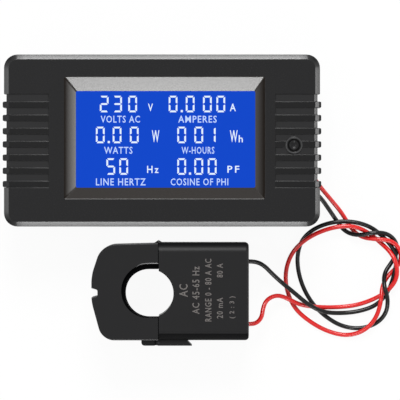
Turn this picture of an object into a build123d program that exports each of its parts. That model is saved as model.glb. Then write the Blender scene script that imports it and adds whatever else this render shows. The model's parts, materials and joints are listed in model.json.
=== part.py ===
"""Digital AC power meter for a panel, with its split-core clamp sensor on two thin leads.

Millimetres, +Z up. The meter lies on its back, display up. The origin is the centre of its rear
face, +X runs along its long side towards the button, and +Y runs up the display. The clamp sensor
lies on its side in front of the meter, and both leads lie on the same surface between them.
"""

import math
import os

from build123d import *

os.makedirs("parts", exist_ok=True)

# Meter: overall size and case
METER_W = 89.6
METER_H = 48.4
METER_D = 24.4
RIB_PROUD = 0.35
BEZEL_W = METER_W - 2 * RIB_PROUD
BEZEL_D = 11.0
SEAM_Z = METER_D - BEZEL_D
CORNER_R = 3.8
EDGE_R = 1.1
WALL = 1.8
FACE_T = 2.2
FACE_UNDER_Z = METER_D - FACE_T
BODY_W = 86.2
BODY_H = 45.2
BODY_CORNER_R = 3.0
FLOOR_T = 2.0
BODY_WALL = 1.75
TONGUE_W = 85.2
TONGUE_H = 44.6
TONGUE_T = 1.8

# Grip ribs at both ends of the bezel
RIB_COUNT = 7
RIB_PITCH = 3.72
RIB_W = 1.75
RIB_TOP_Y = 10.07
GRIP_X = 31.9
GRIP_TOP_Y = 13.05
GRIP_BOTTOM_Y = -13.2
GROOVE_SIDE = 0.7
GROOVE_FACE = 0.35

# Display window with its sloped frame: left, right, bottom, top
WINDOW = (-24.24, 26.23, -13.25, 13.95)
BEVEL = (-27.5, 28.95, -16.45, 17.9)
BEVEL_D = 2.0

# Display stack on the main board
BOARD_W = 82.0
BOARD_H = 41.0
BOARD_T = 1.6
BOARD_Z = 11.4
BOARD_TOP_Z = BOARD_Z + BOARD_T
BOARD_NOTCH = 6.2
DISPLAY_X = 1.0
DISPLAY_Y = 0.4
GLASS_W = 56.0
GLASS_H = 34.0
GLASS_TOP_H = 29.0
GLASS_T = 1.1
GLASS_TOP_Z = FACE_UNDER_Z - 0.1
GLASS_Z = GLASS_TOP_Z - 2 * GLASS_T
BACKLIGHT_T = 3.3
BACKLIGHT_W = 54.0
BACKLIGHT_H = 30.0
FRAME_WALL = 1.6
PIN_COUNT = 18
PIN_PITCH = 2.54
PIN_SIDE = 0.5
PIN_ROW = 16.3

# Button and its switch
BUTTON_X = 37.1
BUTTON_Y = -1.33
BUTTON_R = 1.43
BUTTON_HOLE_R = 1.88
BUTTON_RING_R = 2.36
BUTTON_RING_PROUD = 0.12
BUTTON_TOP_Z = METER_D - 0.25
BUTTON_FLANGE_R = 2.5
BUTTON_FLANGE_T = 1.0
SWITCH_SIDE = 6.0
SWITCH_H = 3.4
PLUNGER_R = 1.6
PLUNGER_TOP_Z = BOARD_TOP_Z + 4.5

# Case screws and board pillars
SCREW_X = 39.3
SCREW_Y = 19.3
POST_R = 2.6
BOSS_R = 2.4
SCREW_HOLE_R = 1.2
SCREW_HEAD_R = 2.0
SCREW_HEAD_T = 1.8
SCREW_SHANK_R = 1.1
SCREW_SEAT_Z = 2.6
SCREW_END_Z = 19.4
PILOT_R = 1.15
PILLAR_R = 1.6
PILLARS = ((-36.0, 15.0), (-36.0, -15.0), (36.0, 15.0), (39.0, -12.5))

# Terminal block in its bay at the rear, four poles, wire entries towards +X
POLE_PITCH = 5.08
POLE_Y = tuple(-13.4 + k * POLE_PITCH for k in range(4))
BLOCK_X0 = 30.0
BLOCK_X1 = 37.6
BLOCK_Z0 = 1.4
BLOCK_GAP = 0.3
BAY_CEILING_Z = 10.2
BAY_WALL = 1.2
WIRE_Z = 7.3
WIRE_R = 0.5
ENTRY_R = 1.35
STRIP_T = 0.6
STRIP_Z = WIRE_Z - WIRE_R - 0.05 - STRIP_T
CAGE_X0 = 31.6
CAGE_X1 = 36.2
CAGE_HALF = 1.85
CAGE_WALL = 0.5
CAGE_PLATE = 0.9
CAGE_Z0 = 3.35
CAGE_GRIP_Z = WIRE_Z + WIRE_R + 0.05
CAGE_TRAVEL = 1.5
CAGE_X = (CAGE_X0 + CAGE_X1) / 2
CLAMP_HEAD_R = 1.8
CLAMP_HEAD_Z = 1.6
CLAMP_HEAD_T = 1.1
CLAMP_SHANK_R = 1.2
LEDGE_T = 0.5
RUNNING = 0.05

# Clamp sensor, lying on its side: parting plane, outline and aperture
SENSOR_T = 22.0
PARTING_X = -1.0
PARTING_GAP = 0.1
SENSOR_X1 = 24.45
SENSOR_Y0 = -56.25
SENSOR_Y1 = -28.65
SENSOR_EDGE_R = 2.8
SENSOR_END_R = 1.0
SHELL_T = 1.7
APERTURE_X = -3.62
APERTURE_Y = -43.05
APERTURE_R = 6.85
RIM_X = -3.9
RIM_Y = -42.35
RIM_R = 7.6
RIM_D = 1.6
JAW_TOP_Y = -28.85
JAW_OUTLINE = ((-17.0, -29.25), (-19.9, -38.0), (-19.9, -45.3), (-16.9, -56.25))
JAW_RADII = (5.3, 12.0, 12.0, 4.4)
JAW_NOTCH = ((-21.0, -41.25), (-18.2, -42.05), (-18.2, -43.8), (-21.0, -44.5))

# Magnetic core, bobbin and winding inside the sensor
LEG_T = 2.8
LEG_IN = 8.2
CORE_Z0 = 4.0
CORE_Z1 = 18.0
CORE_FIT = 0.1
CORE_BACK_X = 15.0
JAW_CORE_X = -15.2
PAD_T = 1.0
CHAMBER_X = 8.2
BOBBIN_WALL = 0.9
FLANGE_T = 1.0
FLANGE_REACH = 3.4
WINDING_GAP = 0.4
END_CAP_T = 1.7
END_RECESS = 0.45
GROMMET_R = 1.2
GROMMET_L = 2.4

# Hinge at the bottom of the parting line and snap tongue at its top
HINGE_Y = -57.04
STRAP_T = 1.58
STRAP_X0 = -5.85
STRAP_X1 = 6.9
STRAP_TIP_X = 8.4
STRAP_Z0 = 3.0
STRAP_Z1 = 19.0
KNUCKLE_R = 0.78
KNUCKLE_Z0 = 7.0
KNUCKLE_Z1 = 15.0
HINGE_PIN_R = 0.36
KNUCKLE_GAP = 0.05
HINGE_CLEAR = 1.12
TONGUE_L = 3.0
TONGUE_Y = -30.0
SNAP_T = 0.7
SNAP_Z0 = 5.0
SNAP_Z1 = 17.0
SNAP_ROOM = 0.35

# Leads: routes from the terminals to the sensor, centre of the wire
LEAD_R = 0.64
LEAD_SIDES = 8
BED = 0.65
RED_ROUTE = [
    (37.6, -8.3, WIRE_Z),
    (40.2, -8.3, WIRE_Z),
    (42.8, -9.9, 6.8),
    (45.0, -13.1, 4.8),
    (48.0, -16.6, 2.5),
    (51.2, -20.4, BED),
    (54.0, -25.2, BED),
    (57.0, -27.5, 1.4),
    (61.0, -27.9, 3.2),
    (65.0, -28.2, 3.1),
    (67.6, -30.4, 2.3),
    (68.2, -33.4, 1.2),
    (66.9, -36.0, BED),
    (64.2, -38.4, BED),
    (62.5, -41.6, 2.6),
    (62.4, -45.2, 3.8),
    (61.0, -50.4, 2.8),
    (57.6, -54.1, 2.1),
    (52.6, -55.6, 0.9),
    (46.8, -54.2, BED),
    (41.6, -51.2, BED),
    (37.6, -47.6, BED),
    (35.4, -42.6, BED),
    (35.0, -37.2, BED),
    (36.6, -32.2, 1.7),
    (39.8, -28.6, 2.3),
    (44.4, -25.9, 2.7),
    (49.6, -24.3, 3.1),
    (54.6, -24.1, 3.1),
    (58.8, -26.0, 1.7),
    (62.0, -28.7, 0.9),
    (65.2, -31.7, 3.1),
    (66.9, -35.4, 4.0),
    (66.8, -39.4, 2.9),
    (64.2, -42.8, 2.1),
    (60.0, -45.2, 1.3),
    (55.0, -46.9, BED),
    (49.4, -47.4, 0.8),
    (44.2, -47.3, 2.1),
    (39.4, -46.7, 2.3),
    (36.0, -45.0, 2.5),
    (33.4, -43.9, 3.3),
    (31.2, -44.2, 4.4),
    (29.4, -45.5, 5.4),
    (28.6, -47.6, 6.3),
    (28.3, -49.8, 6.9),
    (27.3, -51.3, 7.0),
    (25.9, -52.0, 7.0),
    (SENSOR_X1, -52.0, 7.0),
]
BLACK_ROUTE = [
    (37.6, -13.4, WIRE_Z),
    (40.2, -13.4, WIRE_Z),
    (42.9, -14.2, 6.6),
    (45.2, -16.2, 4.6),
    (47.6, -19.6, 2.2),
    (49.8, -22.8, BED),
    (52.2, -25.9, 1.0),
    (55.8, -26.9, 2.7),
    (60.2, -26.0, 3.9),
    (63.4, -26.1, 3.0),
    (65.7, -27.4, 1.8),
    (67.0, -29.6, 0.9),
    (66.9, -32.0, BED),
    (65.5, -34.4, BED),
    (63.2, -37.6, 1.5),
    (63.1, -41.2, 4.1),
    (64.3, -44.8, 4.1),
    (63.9, -49.0, 2.0),
    (61.0, -52.2, BED),
    (56.0, -53.6, BED),
    (50.8, -52.7, BED),
    (46.2, -49.8, BED),
    (42.8, -46.4, BED),
    (40.2, -42.0, BED),
    (38.7, -37.2, BED),
    (38.4, -32.4, BED),
    (39.8, -27.8, 0.7),
    (43.6, -24.6, 1.6),
    (48.8, -22.9, 2.3),
    (54.2, -22.8, 2.3),
    (59.2, -24.2, 2.2),
    (62.8, -27.0, 1.3),
    (66.0, -30.6, 2.0),
    (66.8, -34.6, 2.3),
    (65.9, -38.8, 1.7),
    (64.3, -43.3, BED),
    (61.0, -46.9, BED),
    (56.0, -48.6, BED),
    (50.6, -49.1, 0.9),
    (45.6, -48.7, 3.1),
    (41.2, -46.3, 4.2),
    (37.6, -43.2, 3.8),
    (33.9, -40.2, 4.4),
    (31.2, -37.7, 5.6),
    (29.0, -35.4, 6.7),
    (26.6, -34.2, 7.0),
    (SENSOR_X1, -34.2, 7.0),
]


def block(x0, x1, y0, y1, z0, z1):
    """Box between two corners."""
    return Pos((x0 + x1) / 2, (y0 + y1) / 2, (z0 + z1) / 2) * Box(x1 - x0, y1 - y0, z1 - z0)


def post(x, y, z0, z1, radius):
    """Upright round bar."""
    return Pos(x, y, (z0 + z1) / 2) * Cylinder(radius, z1 - z0)


def bar(x0, x1, y, z, radius):
    """Round bar along X."""
    return Pos((x0 + x1) / 2, y, z) * Rot(0, 90, 0) * Cylinder(radius, x1 - x0)


def rounded_block(width, height, z0, z1, radius):
    """Upright box about the origin with rounded corners."""
    return extrude(Pos(0, 0, z0) * RectangleRounded(width, height, radius), z1 - z0)


def prism(points, z0, z1):
    """Upright prism on a polygon."""
    face = Pos(0, 0, z0) * make_face(Polyline(*points, close=True))
    return extrude(face, z1 - z0, dir=(0, 0, 1))


def corners(x, y):
    """The four places mirrored about the origin."""
    return [(sx * x, sy * y) for sx in (-1, 1) for sy in (-1, 1)]


def bezel_form(width, top):
    """Outer form of the bezel, with its rounded front edge."""
    form = rounded_block(width, METER_H, SEAM_Z, top, CORNER_R)
    return fillet(form.edges().group_by(Axis.Z)[-1], EDGE_R)


def grip_zones():
    """The two ends of the bezel where the grip is."""
    reach = METER_W / 2 + 1
    zones = [
        block(x0, x1, GRIP_BOTTOM_Y, GRIP_TOP_Y, SEAM_Z - 1, METER_D + 1)
        for x0, x1 in ((-reach, -GRIP_X), (GRIP_X, reach))
    ]
    return Part() + zones


def rib_slabs():
    """Slabs that hold the ribs of both grips."""
    reach = METER_W / 2 + 1
    slabs = []
    for k in range(RIB_COUNT):
        y = RIB_TOP_Y - k * RIB_PITCH
        for x0, x1 in ((-reach, -GRIP_X), (GRIP_X, reach)):
            slabs.append(block(x0, x1, y - RIB_W / 2, y + RIB_W / 2, SEAM_Z - 1, METER_D + 1))
    return Part() + slabs


def window_cut():
    """Display opening: a straight land below a four-sided slope that runs past the face."""
    over = 0.5
    grow = 1 + over / BEVEL_D
    low = [WINDOW[k] for k in range(4)]
    high = [WINDOW[k] + (BEVEL[k] - WINDOW[k]) * grow for k in range(4)]
    sections = []
    for (x0, x1, y0, y1), z in ((low, METER_D - BEVEL_D), (high, METER_D + over)):
        sections.append(Pos((x0 + x1) / 2, (y0 + y1) / 2, z) * Rectangle(x1 - x0, y1 - y0))
    land = block(*WINDOW, FACE_UNDER_Z - 1, METER_D - BEVEL_D)
    return loft(sections) + land


def front_shell():
    """Bezel with grip ribs, sloped display window, button hole, screw bosses and board pillars."""
    zones = grip_zones()
    shell = bezel_form(BEZEL_W, METER_D) - zones
    shell += bezel_form(BEZEL_W - 2 * GROOVE_SIDE, METER_D - GROOVE_FACE) & zones
    shell += bezel_form(METER_W, METER_D) & rib_slabs()
    cavity_w = BEZEL_W - 2 * WALL
    cavity_h = METER_H - 2 * WALL
    shell -= rounded_block(cavity_w, cavity_h, SEAM_Z - 1, FACE_UNDER_Z, CORNER_R - WALL)
    shell += post(BUTTON_X, BUTTON_Y, FACE_UNDER_Z, METER_D + BUTTON_RING_PROUD, BUTTON_RING_R)
    for x, y in corners(SCREW_X, SCREW_Y):
        shell += post(x, y, SEAM_Z, FACE_UNDER_Z, BOSS_R)
        shell -= post(x, y, SEAM_Z - 1, SCREW_END_Z + 0.6, PILOT_R)
    for x, y in PILLARS:
        shell += post(x, y, BOARD_TOP_Z, FACE_UNDER_Z, PILLAR_R)
    shell -= post(BUTTON_X, BUTTON_Y, FACE_UNDER_Z - 1, METER_D + 1, BUTTON_HOLE_R)
    return shell - window_cut()


def bay_y():
    """Lower and upper Y of the terminal bay."""
    half = POLE_PITCH / 2 + BLOCK_GAP
    return POLE_Y[0] - half, POLE_Y[-1] + half


def rear_housing():
    """Rear tub with its locating tongue, screw posts and the open terminal bay."""
    tub = rounded_block(BODY_W, BODY_H, 0, SEAM_Z, BODY_CORNER_R)
    tub = fillet(tub.edges().group_by(Axis.Z)[0], 0.8)
    tongue = rounded_block(TONGUE_W, TONGUE_H, SEAM_Z, SEAM_Z + TONGUE_T, BODY_CORNER_R - 0.4)
    for x, y in corners(SCREW_X, SCREW_Y):
        tongue -= post(x, y, SEAM_Z, SEAM_Z + TONGUE_T, BOSS_R + 0.15)
    tub += tongue
    inner_w = BODY_W - 2 * BODY_WALL
    inner_h = BODY_H - 2 * BODY_WALL
    room = rounded_block(inner_w, inner_h, FLOOR_T, SEAM_Z + TONGUE_T + 1, 1.5)
    y0, y1 = bay_y()
    bay_x0 = BLOCK_X0 - BLOCK_GAP
    room -= block(bay_x0 - BAY_WALL, BODY_W / 2, y0 - BAY_WALL, y1 + BAY_WALL, 0, BOARD_Z)
    for x, y in corners(SCREW_X, SCREW_Y):
        room -= post(x, y, 0, SEAM_Z, POST_R)
    for x, y in PILLARS[:3]:
        room -= post(x, y, 0, BOARD_Z, PILLAR_R + 0.4)
    tub -= room
    tub -= block(bay_x0, BODY_W, y0, y1, -1, BAY_CEILING_Z)
    tub -= block(bay_x0, BLOCK_X1 + BLOCK_GAP, y0, y1, -1, BOARD_Z + 1)
    for x, y in corners(SCREW_X, SCREW_Y):
        tub -= post(x, y, -1, SEAM_Z + 1, SCREW_HOLE_R)
        tub -= post(x, y, -1, SCREW_SEAT_Z, SCREW_HEAD_R + 0.2)
    return tub


def case_screws():
    """Four recessed cross-head screws that hold the two shells together."""
    screws = []
    for x, y in corners(SCREW_X, SCREW_Y):
        head_z = SCREW_SEAT_Z - SCREW_HEAD_T
        screw = post(x, y, head_z, SCREW_SEAT_Z, SCREW_HEAD_R)
        screw += post(x, y, SCREW_SEAT_Z, SCREW_END_Z, SCREW_SHANK_R)
        for dx, dy in ((1.2, 0.25), (0.25, 1.2)):
            screw -= block(x - dx, x + dx, y - dy, y + dy, head_z - 1, head_z + 1.0)
        screws.append(screw)
    return Compound(children=screws)


def lcd_glass():
    """Display cell: two bonded panes, the lower one with ledges for the pins."""
    x0, x1 = DISPLAY_X - GLASS_W / 2, DISPLAY_X + GLASS_W / 2
    lower, upper = GLASS_H / 2, GLASS_TOP_H / 2
    step_z = GLASS_Z + GLASS_T
    glass = block(x0, x1, DISPLAY_Y - lower, DISPLAY_Y + lower, GLASS_Z, step_z)
    return glass + block(x0, x1, DISPLAY_Y - upper, DISPLAY_Y + upper, step_z, GLASS_TOP_Z)


def backlight_panel():
    """Light guide behind the display cell."""
    x, y = BACKLIGHT_W / 2, BACKLIGHT_H / 2
    return block(
        DISPLAY_X - x, DISPLAY_X + x, DISPLAY_Y - y, DISPLAY_Y + y, GLASS_Z - BACKLIGHT_T, GLASS_Z
    )


def display_frame():
    """Moulded frame that carries the backlight on the board."""
    x, y = BACKLIGHT_W / 2, BACKLIGHT_H / 2
    top = GLASS_Z - BACKLIGHT_T
    outer = block(DISPLAY_X - x, DISPLAY_X + x, DISPLAY_Y - y, DISPLAY_Y + y, BOARD_TOP_Z, top)
    x, y = x - FRAME_WALL, y - FRAME_WALL
    return outer - block(
        DISPLAY_X - x, DISPLAY_X + x, DISPLAY_Y - y, DISPLAY_Y + y, BOARD_TOP_Z - 1, top + 1
    )


def display_pins():
    """Two rows of pins from the cell's ledges down to the board."""
    pins = []
    half = PIN_SIDE / 2
    for side in (-1, 1):
        y = DISPLAY_Y + side * PIN_ROW
        for k in range(PIN_COUNT):
            x = DISPLAY_X + (k - (PIN_COUNT - 1) / 2) * PIN_PITCH
            pins.append(block(x - half, x + half, y - half, y + half, BOARD_TOP_Z, GLASS_Z))
    return Compound(children=pins)


def main_board():
    """Circuit board, notched at its corners for the screw posts, with holes for the terminals."""
    x, y = BOARD_W / 2, BOARD_H / 2
    board = block(-x, x, -y, y, BOARD_Z, BOARD_TOP_Z)
    for cx, cy in corners(x, y):
        board -= post(cx, cy, BOARD_Z - 1, BOARD_TOP_Z + 1, BOARD_NOTCH)
    for pole in POLE_Y:
        board -= post(BLOCK_X0 + 1.0, pole, BOARD_Z - 1, BOARD_TOP_Z + 1, 0.8)
    return board


def legged_chip(x, y, length, width, height, legs, pitch):
    """Chip under the board with a row of bent legs along each long side."""
    low = BOARD_Z - height
    body_top = BOARD_Z - 0.15
    chip = block(x - length / 2, x + length / 2, y - width / 2, y + width / 2, low, body_top)
    for k in range(legs):
        leg_x = x + (k - (legs - 1) / 2) * pitch
        for side in (-1, 1):
            inner = y + side * (width / 2 - 0.1)
            outer = y + side * (width / 2 + 0.9)
            y0, y1 = min(inner, outer), max(inner, outer)
            shin0, shin1 = (y1 - 0.4, y1) if side > 0 else (y0, y0 + 0.4)
            chip += block(leg_x - 0.2, leg_x + 0.2, y0, y1, BOARD_Z - height / 2, body_top - 0.25)
            chip += block(leg_x - 0.2, leg_x + 0.2, shin0, shin1, BOARD_Z - height / 2, BOARD_Z)
    return chip


def crystal():
    """Quartz crystal in its oval can."""
    can = Pos(2.0, -14.5, BOARD_Z - 3.5) * SlotOverall(11.0, 4.6)
    return extrude(can, 3.5)


def film_capacitor():
    """Mains dropper capacitor, a potted box."""
    box = block(-12.0, 1.0, 8.5, 14.5, 3.4, BOARD_Z)
    return fillet(box.edges().group_by(Axis.Z)[0], 0.6)


def filter_capacitors():
    """Two electrolytic cans with their crimp."""
    cans = []
    for x in (7.5, 15.5):
        can = post(x, 11.0, 3.6, BOARD_Z, 3.15)
        ring = post(x, 11.0, 9.4, 10.0, 3.4) - post(x, 11.0, 9.3, 10.1, 2.95)
        cans.append(can - ring)
    return Compound(children=cans)


def dropper_resistor():
    """Axial power resistor on its bent leads."""
    y, z = 11.5, 8.4
    body = bar(-27.0, -18.0, y, z, 1.9)
    for x0, x1 in ((-29.5, -27.0), (-18.0, -15.5)):
        body += bar(x0, x1, y, z, 0.35)
    for x in (-29.15, -15.85):
        body += post(x, y, z, BOARD_Z, 0.35)
    return body


def rectifier_diodes():
    """Four surface-mount diodes of the supply."""
    diodes = []
    for k in range(4):
        x = -28.0 + k * 5.0
        diodes.append(block(x - 2.1, x + 2.1, 1.7, 4.3, BOARD_Z - 2.2, BOARD_Z))
    return Compound(children=diodes)


def switch_body():
    """Square tactile switch with its plunger well."""
    half = SWITCH_SIDE / 2
    top = BOARD_TOP_Z + SWITCH_H
    body = block(
        BUTTON_X - half, BUTTON_X + half, BUTTON_Y - half, BUTTON_Y + half, BOARD_TOP_Z, top
    )
    body = chamfer(body.edges().filter_by(Axis.Z), 0.4)
    return body - post(BUTTON_X, BUTTON_Y, top - 1.3, top + 1, PLUNGER_R + 0.1)


def switch_plunger():
    """Round plunger of the switch."""
    low = BOARD_TOP_Z + SWITCH_H - 0.8
    return post(BUTTON_X, BUTTON_Y, low, PLUNGER_TOP_Z, PLUNGER_R)


def button_cap():
    """Button: dished pin in the face, kept in by a flange under it."""
    flange_top = FACE_UNDER_Z - 0.15
    cap = post(BUTTON_X, BUTTON_Y, PLUNGER_TOP_Z, flange_top, PLUNGER_R)
    cap += post(BUTTON_X, BUTTON_Y, flange_top - BUTTON_FLANGE_T, flange_top, BUTTON_FLANGE_R)
    cap += post(BUTTON_X, BUTTON_Y, flange_top, BUTTON_TOP_Z, BUTTON_R)
    dish_r = 3.2
    return cap - Pos(BUTTON_X, BUTTON_Y, BUTTON_TOP_Z + dish_r - 0.25) * Sphere(dish_r)


def terminal_block():
    """Moulded four-pole block: screw wells at the rear, wire entries at the side."""
    half = POLE_PITCH / 2
    body = block(BLOCK_X0, BLOCK_X1, POLE_Y[0] - half, POLE_Y[-1] + half, BLOCK_Z0, BOARD_Z)
    well_floor = CLAMP_HEAD_Z + CLAMP_HEAD_T + RUNNING
    room_z1 = CAGE_GRIP_Z + CAGE_PLATE + CAGE_TRAVEL + 0.3
    room_y = CAGE_HALF + 0.15
    for y in POLE_Y:
        body -= post(CAGE_X, y, BLOCK_Z0 - 1, well_floor, CLAMP_HEAD_R + 0.15)
        body -= post(CAGE_X, y, BLOCK_Z0, CAGE_Z0, CLAMP_SHANK_R + 0.15)
        body -= block(
            CAGE_X0 - 0.2, CAGE_X1 + 0.2, y - room_y, y + room_y, well_floor + LEDGE_T, room_z1
        )
        body -= bar(CAGE_X1, BLOCK_X1 + 1, y, WIRE_Z, ENTRY_R)
        body -= block(BLOCK_X0 + 0.6, CAGE_X0, y - 0.7, y + 0.7, STRIP_Z - 0.05, BOARD_Z + 1)
    return body


def terminal_contacts():
    """Four fixed contact strips with their tails through the board."""
    strips = []
    tail_x0 = BLOCK_X0 + 0.7
    for y in POLE_Y:
        strip = block(tail_x0, CAGE_X1, y - 0.6, y + 0.6, STRIP_Z, STRIP_Z + STRIP_T)
        strip += block(CAGE_X0, CAGE_X1, y - 1.2, y + 1.2, STRIP_Z, STRIP_Z + STRIP_T)
        strip += block(tail_x0, tail_x0 + 0.6, y - 0.5, y + 0.5, STRIP_Z, BOARD_TOP_Z + 1.2)
        strips.append(strip)
    return Compound(children=strips)


def clamp_screw(y):
    """Slotted clamping screw of one pole, its head towards the rear."""
    head_top = CLAMP_HEAD_Z + CLAMP_HEAD_T
    screw = post(CAGE_X, y, CLAMP_HEAD_Z, head_top, CLAMP_HEAD_R)
    screw += post(CAGE_X, y, head_top, STRIP_Z - RUNNING, CLAMP_SHANK_R)
    slot_z = CLAMP_HEAD_Z + 0.6
    return screw - block(CAGE_X - 2, CAGE_X + 2, y - 0.25, y + 0.25, CLAMP_HEAD_Z - 1, slot_z)


def clamp_cage(y):
    """Rising cage of one pole, drawn along the screw to grip the wire."""
    top = CAGE_GRIP_Z + CAGE_PLATE - 0.2
    cage = block(CAGE_X0, CAGE_X1, y - CAGE_HALF, y + CAGE_HALF, CAGE_Z0, top)
    inner = CAGE_HALF - CAGE_WALL
    cage -= block(CAGE_X0 - 1, CAGE_X1 + 1, y - inner, y + inner, CAGE_Z0 + CAGE_PLATE, CAGE_GRIP_Z)
    return cage - post(CAGE_X, y, CAGE_Z0 - 1, CAGE_Z0 + 2, CLAMP_SHANK_R + RUNNING)


def wire_end(y):
    """Bare tinned end of a lead inside its terminal."""
    return bar(CAGE_X0 + 0.6, BLOCK_X1, y, WIRE_Z, WIRE_R)


def strap_y():
    """Lower and upper Y of the hinge strap under the sensor."""
    return SENSOR_Y0 - STRAP_T, SENSOR_Y0


def leg_bands():
    """Y ranges of the two core legs, lower and upper."""
    low = APERTURE_Y - LEG_IN
    high = APERTURE_Y + LEG_IN
    return (low - LEG_T, low), (high, high + LEG_T)


def rim_cut(x1):
    """Shallow U-shaped recess round the aperture on both sides of a shell, open as far as x1."""
    cut = Part()
    for z0, z1 in ((-1, RIM_D), (SENSOR_T - RIM_D, SENSOR_T + 1)):
        cut += post(RIM_X, RIM_Y, z0, z1, RIM_R)
        cut += block(RIM_X, x1, RIM_Y - RIM_R, RIM_Y + RIM_R, z0, z1)
    return cut


def knuckle(z0, z1, hole_r):
    """Hinge barrel about the pin, with its bore."""
    barrel = post(PARTING_X, HINGE_Y, z0, z1, KNUCKLE_R)
    return barrel - post(PARTING_X, HINGE_Y, z0 - 1, z1 + 1, hole_r)


def hinge_room(x, z0, z1):
    """Room in a strap round the other half's knuckle, from x to past the pin."""
    y0, y1 = strap_y()
    past = PARTING_X - math.copysign(HINGE_CLEAR, x - PARTING_X)
    return block(min(x, past), max(x, past), y0 - 1, y1, z0, z1)


def sensor_body():
    """Fixed half of the sensor: shell with leg pockets, winding chamber, strap and catch."""
    x0 = PARTING_X + PARTING_GAP / 2
    mid_y = (SENSOR_Y0 + SENSOR_Y1) / 2
    section = RectangleRounded(SENSOR_Y1 - SENSOR_Y0, SENSOR_T, SENSOR_EDGE_R)
    section = Plane.YZ.offset(x0) * Pos(mid_y, SENSOR_T / 2) * section
    body = extrude(section, SENSOR_X1 - x0)
    body = fillet(body.edges().group_by(Axis.X)[-1], SENSOR_END_R)
    body -= post(APERTURE_X, APERTURE_Y, -1, SENSOR_T + 1, APERTURE_R)
    for y0, y1 in leg_bands():
        body -= block(
            x0 - 1, CHAMBER_X + 1, y0 - CORE_FIT, y1 + CORE_FIT, CORE_Z0 - CORE_FIT, CORE_Z1 + CORE_FIT
        )
    body -= block(
        CHAMBER_X, SENSOR_X1 + 1, SENSOR_Y0 + SHELL_T, SENSOR_Y1 - SHELL_T, SHELL_T, SENSOR_T - SHELL_T
    )
    slot = SNAP_T / 2 + SNAP_ROOM
    body -= block(
        x0 - 1, x0 + TONGUE_L + 0.5, TONGUE_Y - slot, TONGUE_Y + slot, SNAP_Z0 - 0.4, SNAP_Z1 + 0.4
    )
    y0, y1 = strap_y()
    tip = ((PARTING_X, y0), (PARTING_X, y1 + 1), (STRAP_X1, y1 + 1), (STRAP_X1, y1), (STRAP_TIP_X, y0))
    strap = prism(tip, STRAP_Z0, STRAP_Z1)
    strap -= block(PARTING_X - 1, x0, y1, y1 + 2, STRAP_Z0 - 1, STRAP_Z1 + 1)
    strap -= hinge_room(PARTING_X + HINGE_CLEAR, KNUCKLE_Z0 - KNUCKLE_GAP, KNUCKLE_Z1 + KNUCKLE_GAP)
    body += strap - post(PARTING_X, HINGE_Y, STRAP_Z0 - 1, STRAP_Z1 + 1, KNUCKLE_R)
    for z0, z1 in ((STRAP_Z0, KNUCKLE_Z0 - KNUCKLE_GAP), (KNUCKLE_Z1 + KNUCKLE_GAP, STRAP_Z1)):
        body += knuckle(z0, z1, HINGE_PIN_R)
    catch = ((x0, SENSOR_Y1 - 0.5), (x0, SENSOR_Y1 + 0.5), (x0 + 0.8, SENSOR_Y1), (x0 + 0.8, SENSOR_Y1 - 0.5))
    return body + prism(catch, SNAP_Z0 + 1, SNAP_Z1 - 1)


def jaw_outline():
    """Closed outline of the jaw seen along the aperture."""
    x1 = PARTING_X - PARTING_GAP / 2
    points = [(x1, JAW_TOP_Y), *JAW_OUTLINE, (x1, JAW_OUTLINE[-1][1])]
    face = make_face(Polyline(*points, close=True))
    for (x, y), radius in zip(JAW_OUTLINE, JAW_RADII):
        corner = face.vertices().sort_by_distance((x, y, 0))[0]
        face = fillet(corner, radius)
    return face


def jaw_shell():
    """Moving half of the sensor: shell with straight throat, core pocket, knuckle and tongue."""
    x1 = PARTING_X - PARTING_GAP / 2
    jaw = extrude(jaw_outline(), SENSOR_T, dir=(0, 0, 1))
    jaw -= post(APERTURE_X, APERTURE_Y, -1, SENSOR_T + 1, APERTURE_R)
    throat_y0, throat_y1 = APERTURE_Y - APERTURE_R, APERTURE_Y + APERTURE_R
    jaw -= block(APERTURE_X, x1 + 1, throat_y0, throat_y1, -1, SENSOR_T + 1)
    jaw -= rim_cut(x1 + 1)
    jaw -= prism(JAW_NOTCH, -1, SENSOR_T + 1)
    pocket_x0 = JAW_CORE_X - PAD_T - CORE_FIT
    (low0, low1), (high0, high1) = leg_bands()
    z0, z1 = CORE_Z0 - CORE_FIT, CORE_Z1 + CORE_FIT
    jaw -= block(pocket_x0, x1 + 1, low0 - CORE_FIT, low1 + CORE_FIT, z0, z1)
    jaw -= block(pocket_x0, x1 + 1, high0 - CORE_FIT, high1 + CORE_FIT, z0, z1)
    jaw -= block(pocket_x0, JAW_CORE_X + LEG_T + CORE_FIT, low0, high1, z0, z1)
    y0, y1 = strap_y()
    strap = block(STRAP_X0, PARTING_X, y0, y1, STRAP_Z0, STRAP_Z1)
    strap = fillet(strap.edges().filter_by(Axis.Z).sort_by_distance((STRAP_X0, y0, 11))[0], 0.9)
    strap += block(STRAP_X0 + 1, x1 - 1, y1 - 0.2, y1 + 0.5, STRAP_Z0, STRAP_Z1)
    for z0, z1 in ((STRAP_Z0 - 1, KNUCKLE_Z0), (KNUCKLE_Z1, STRAP_Z1 + 1)):
        strap -= hinge_room(PARTING_X - HINGE_CLEAR, z0, z1)
    jaw += strap - post(PARTING_X, HINGE_Y, STRAP_Z0 - 1, STRAP_Z1 + 1, KNUCKLE_R)
    jaw += knuckle(KNUCKLE_Z0, KNUCKLE_Z1, HINGE_PIN_R + RUNNING)
    half = SNAP_T / 2
    jaw += block(x1 - 1, x1 + TONGUE_L, TONGUE_Y - half, TONGUE_Y + half, SNAP_Z0, SNAP_Z1)
    low = JAW_TOP_Y - 0.5
    catch = ((x1 - 1.2, low), (x1 - 1.2, JAW_TOP_Y), (x1, SENSOR_Y1 + 0.6), (x1, low))
    return jaw + prism(catch, SNAP_Z0 + 1, SNAP_Z1 - 1)


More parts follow.
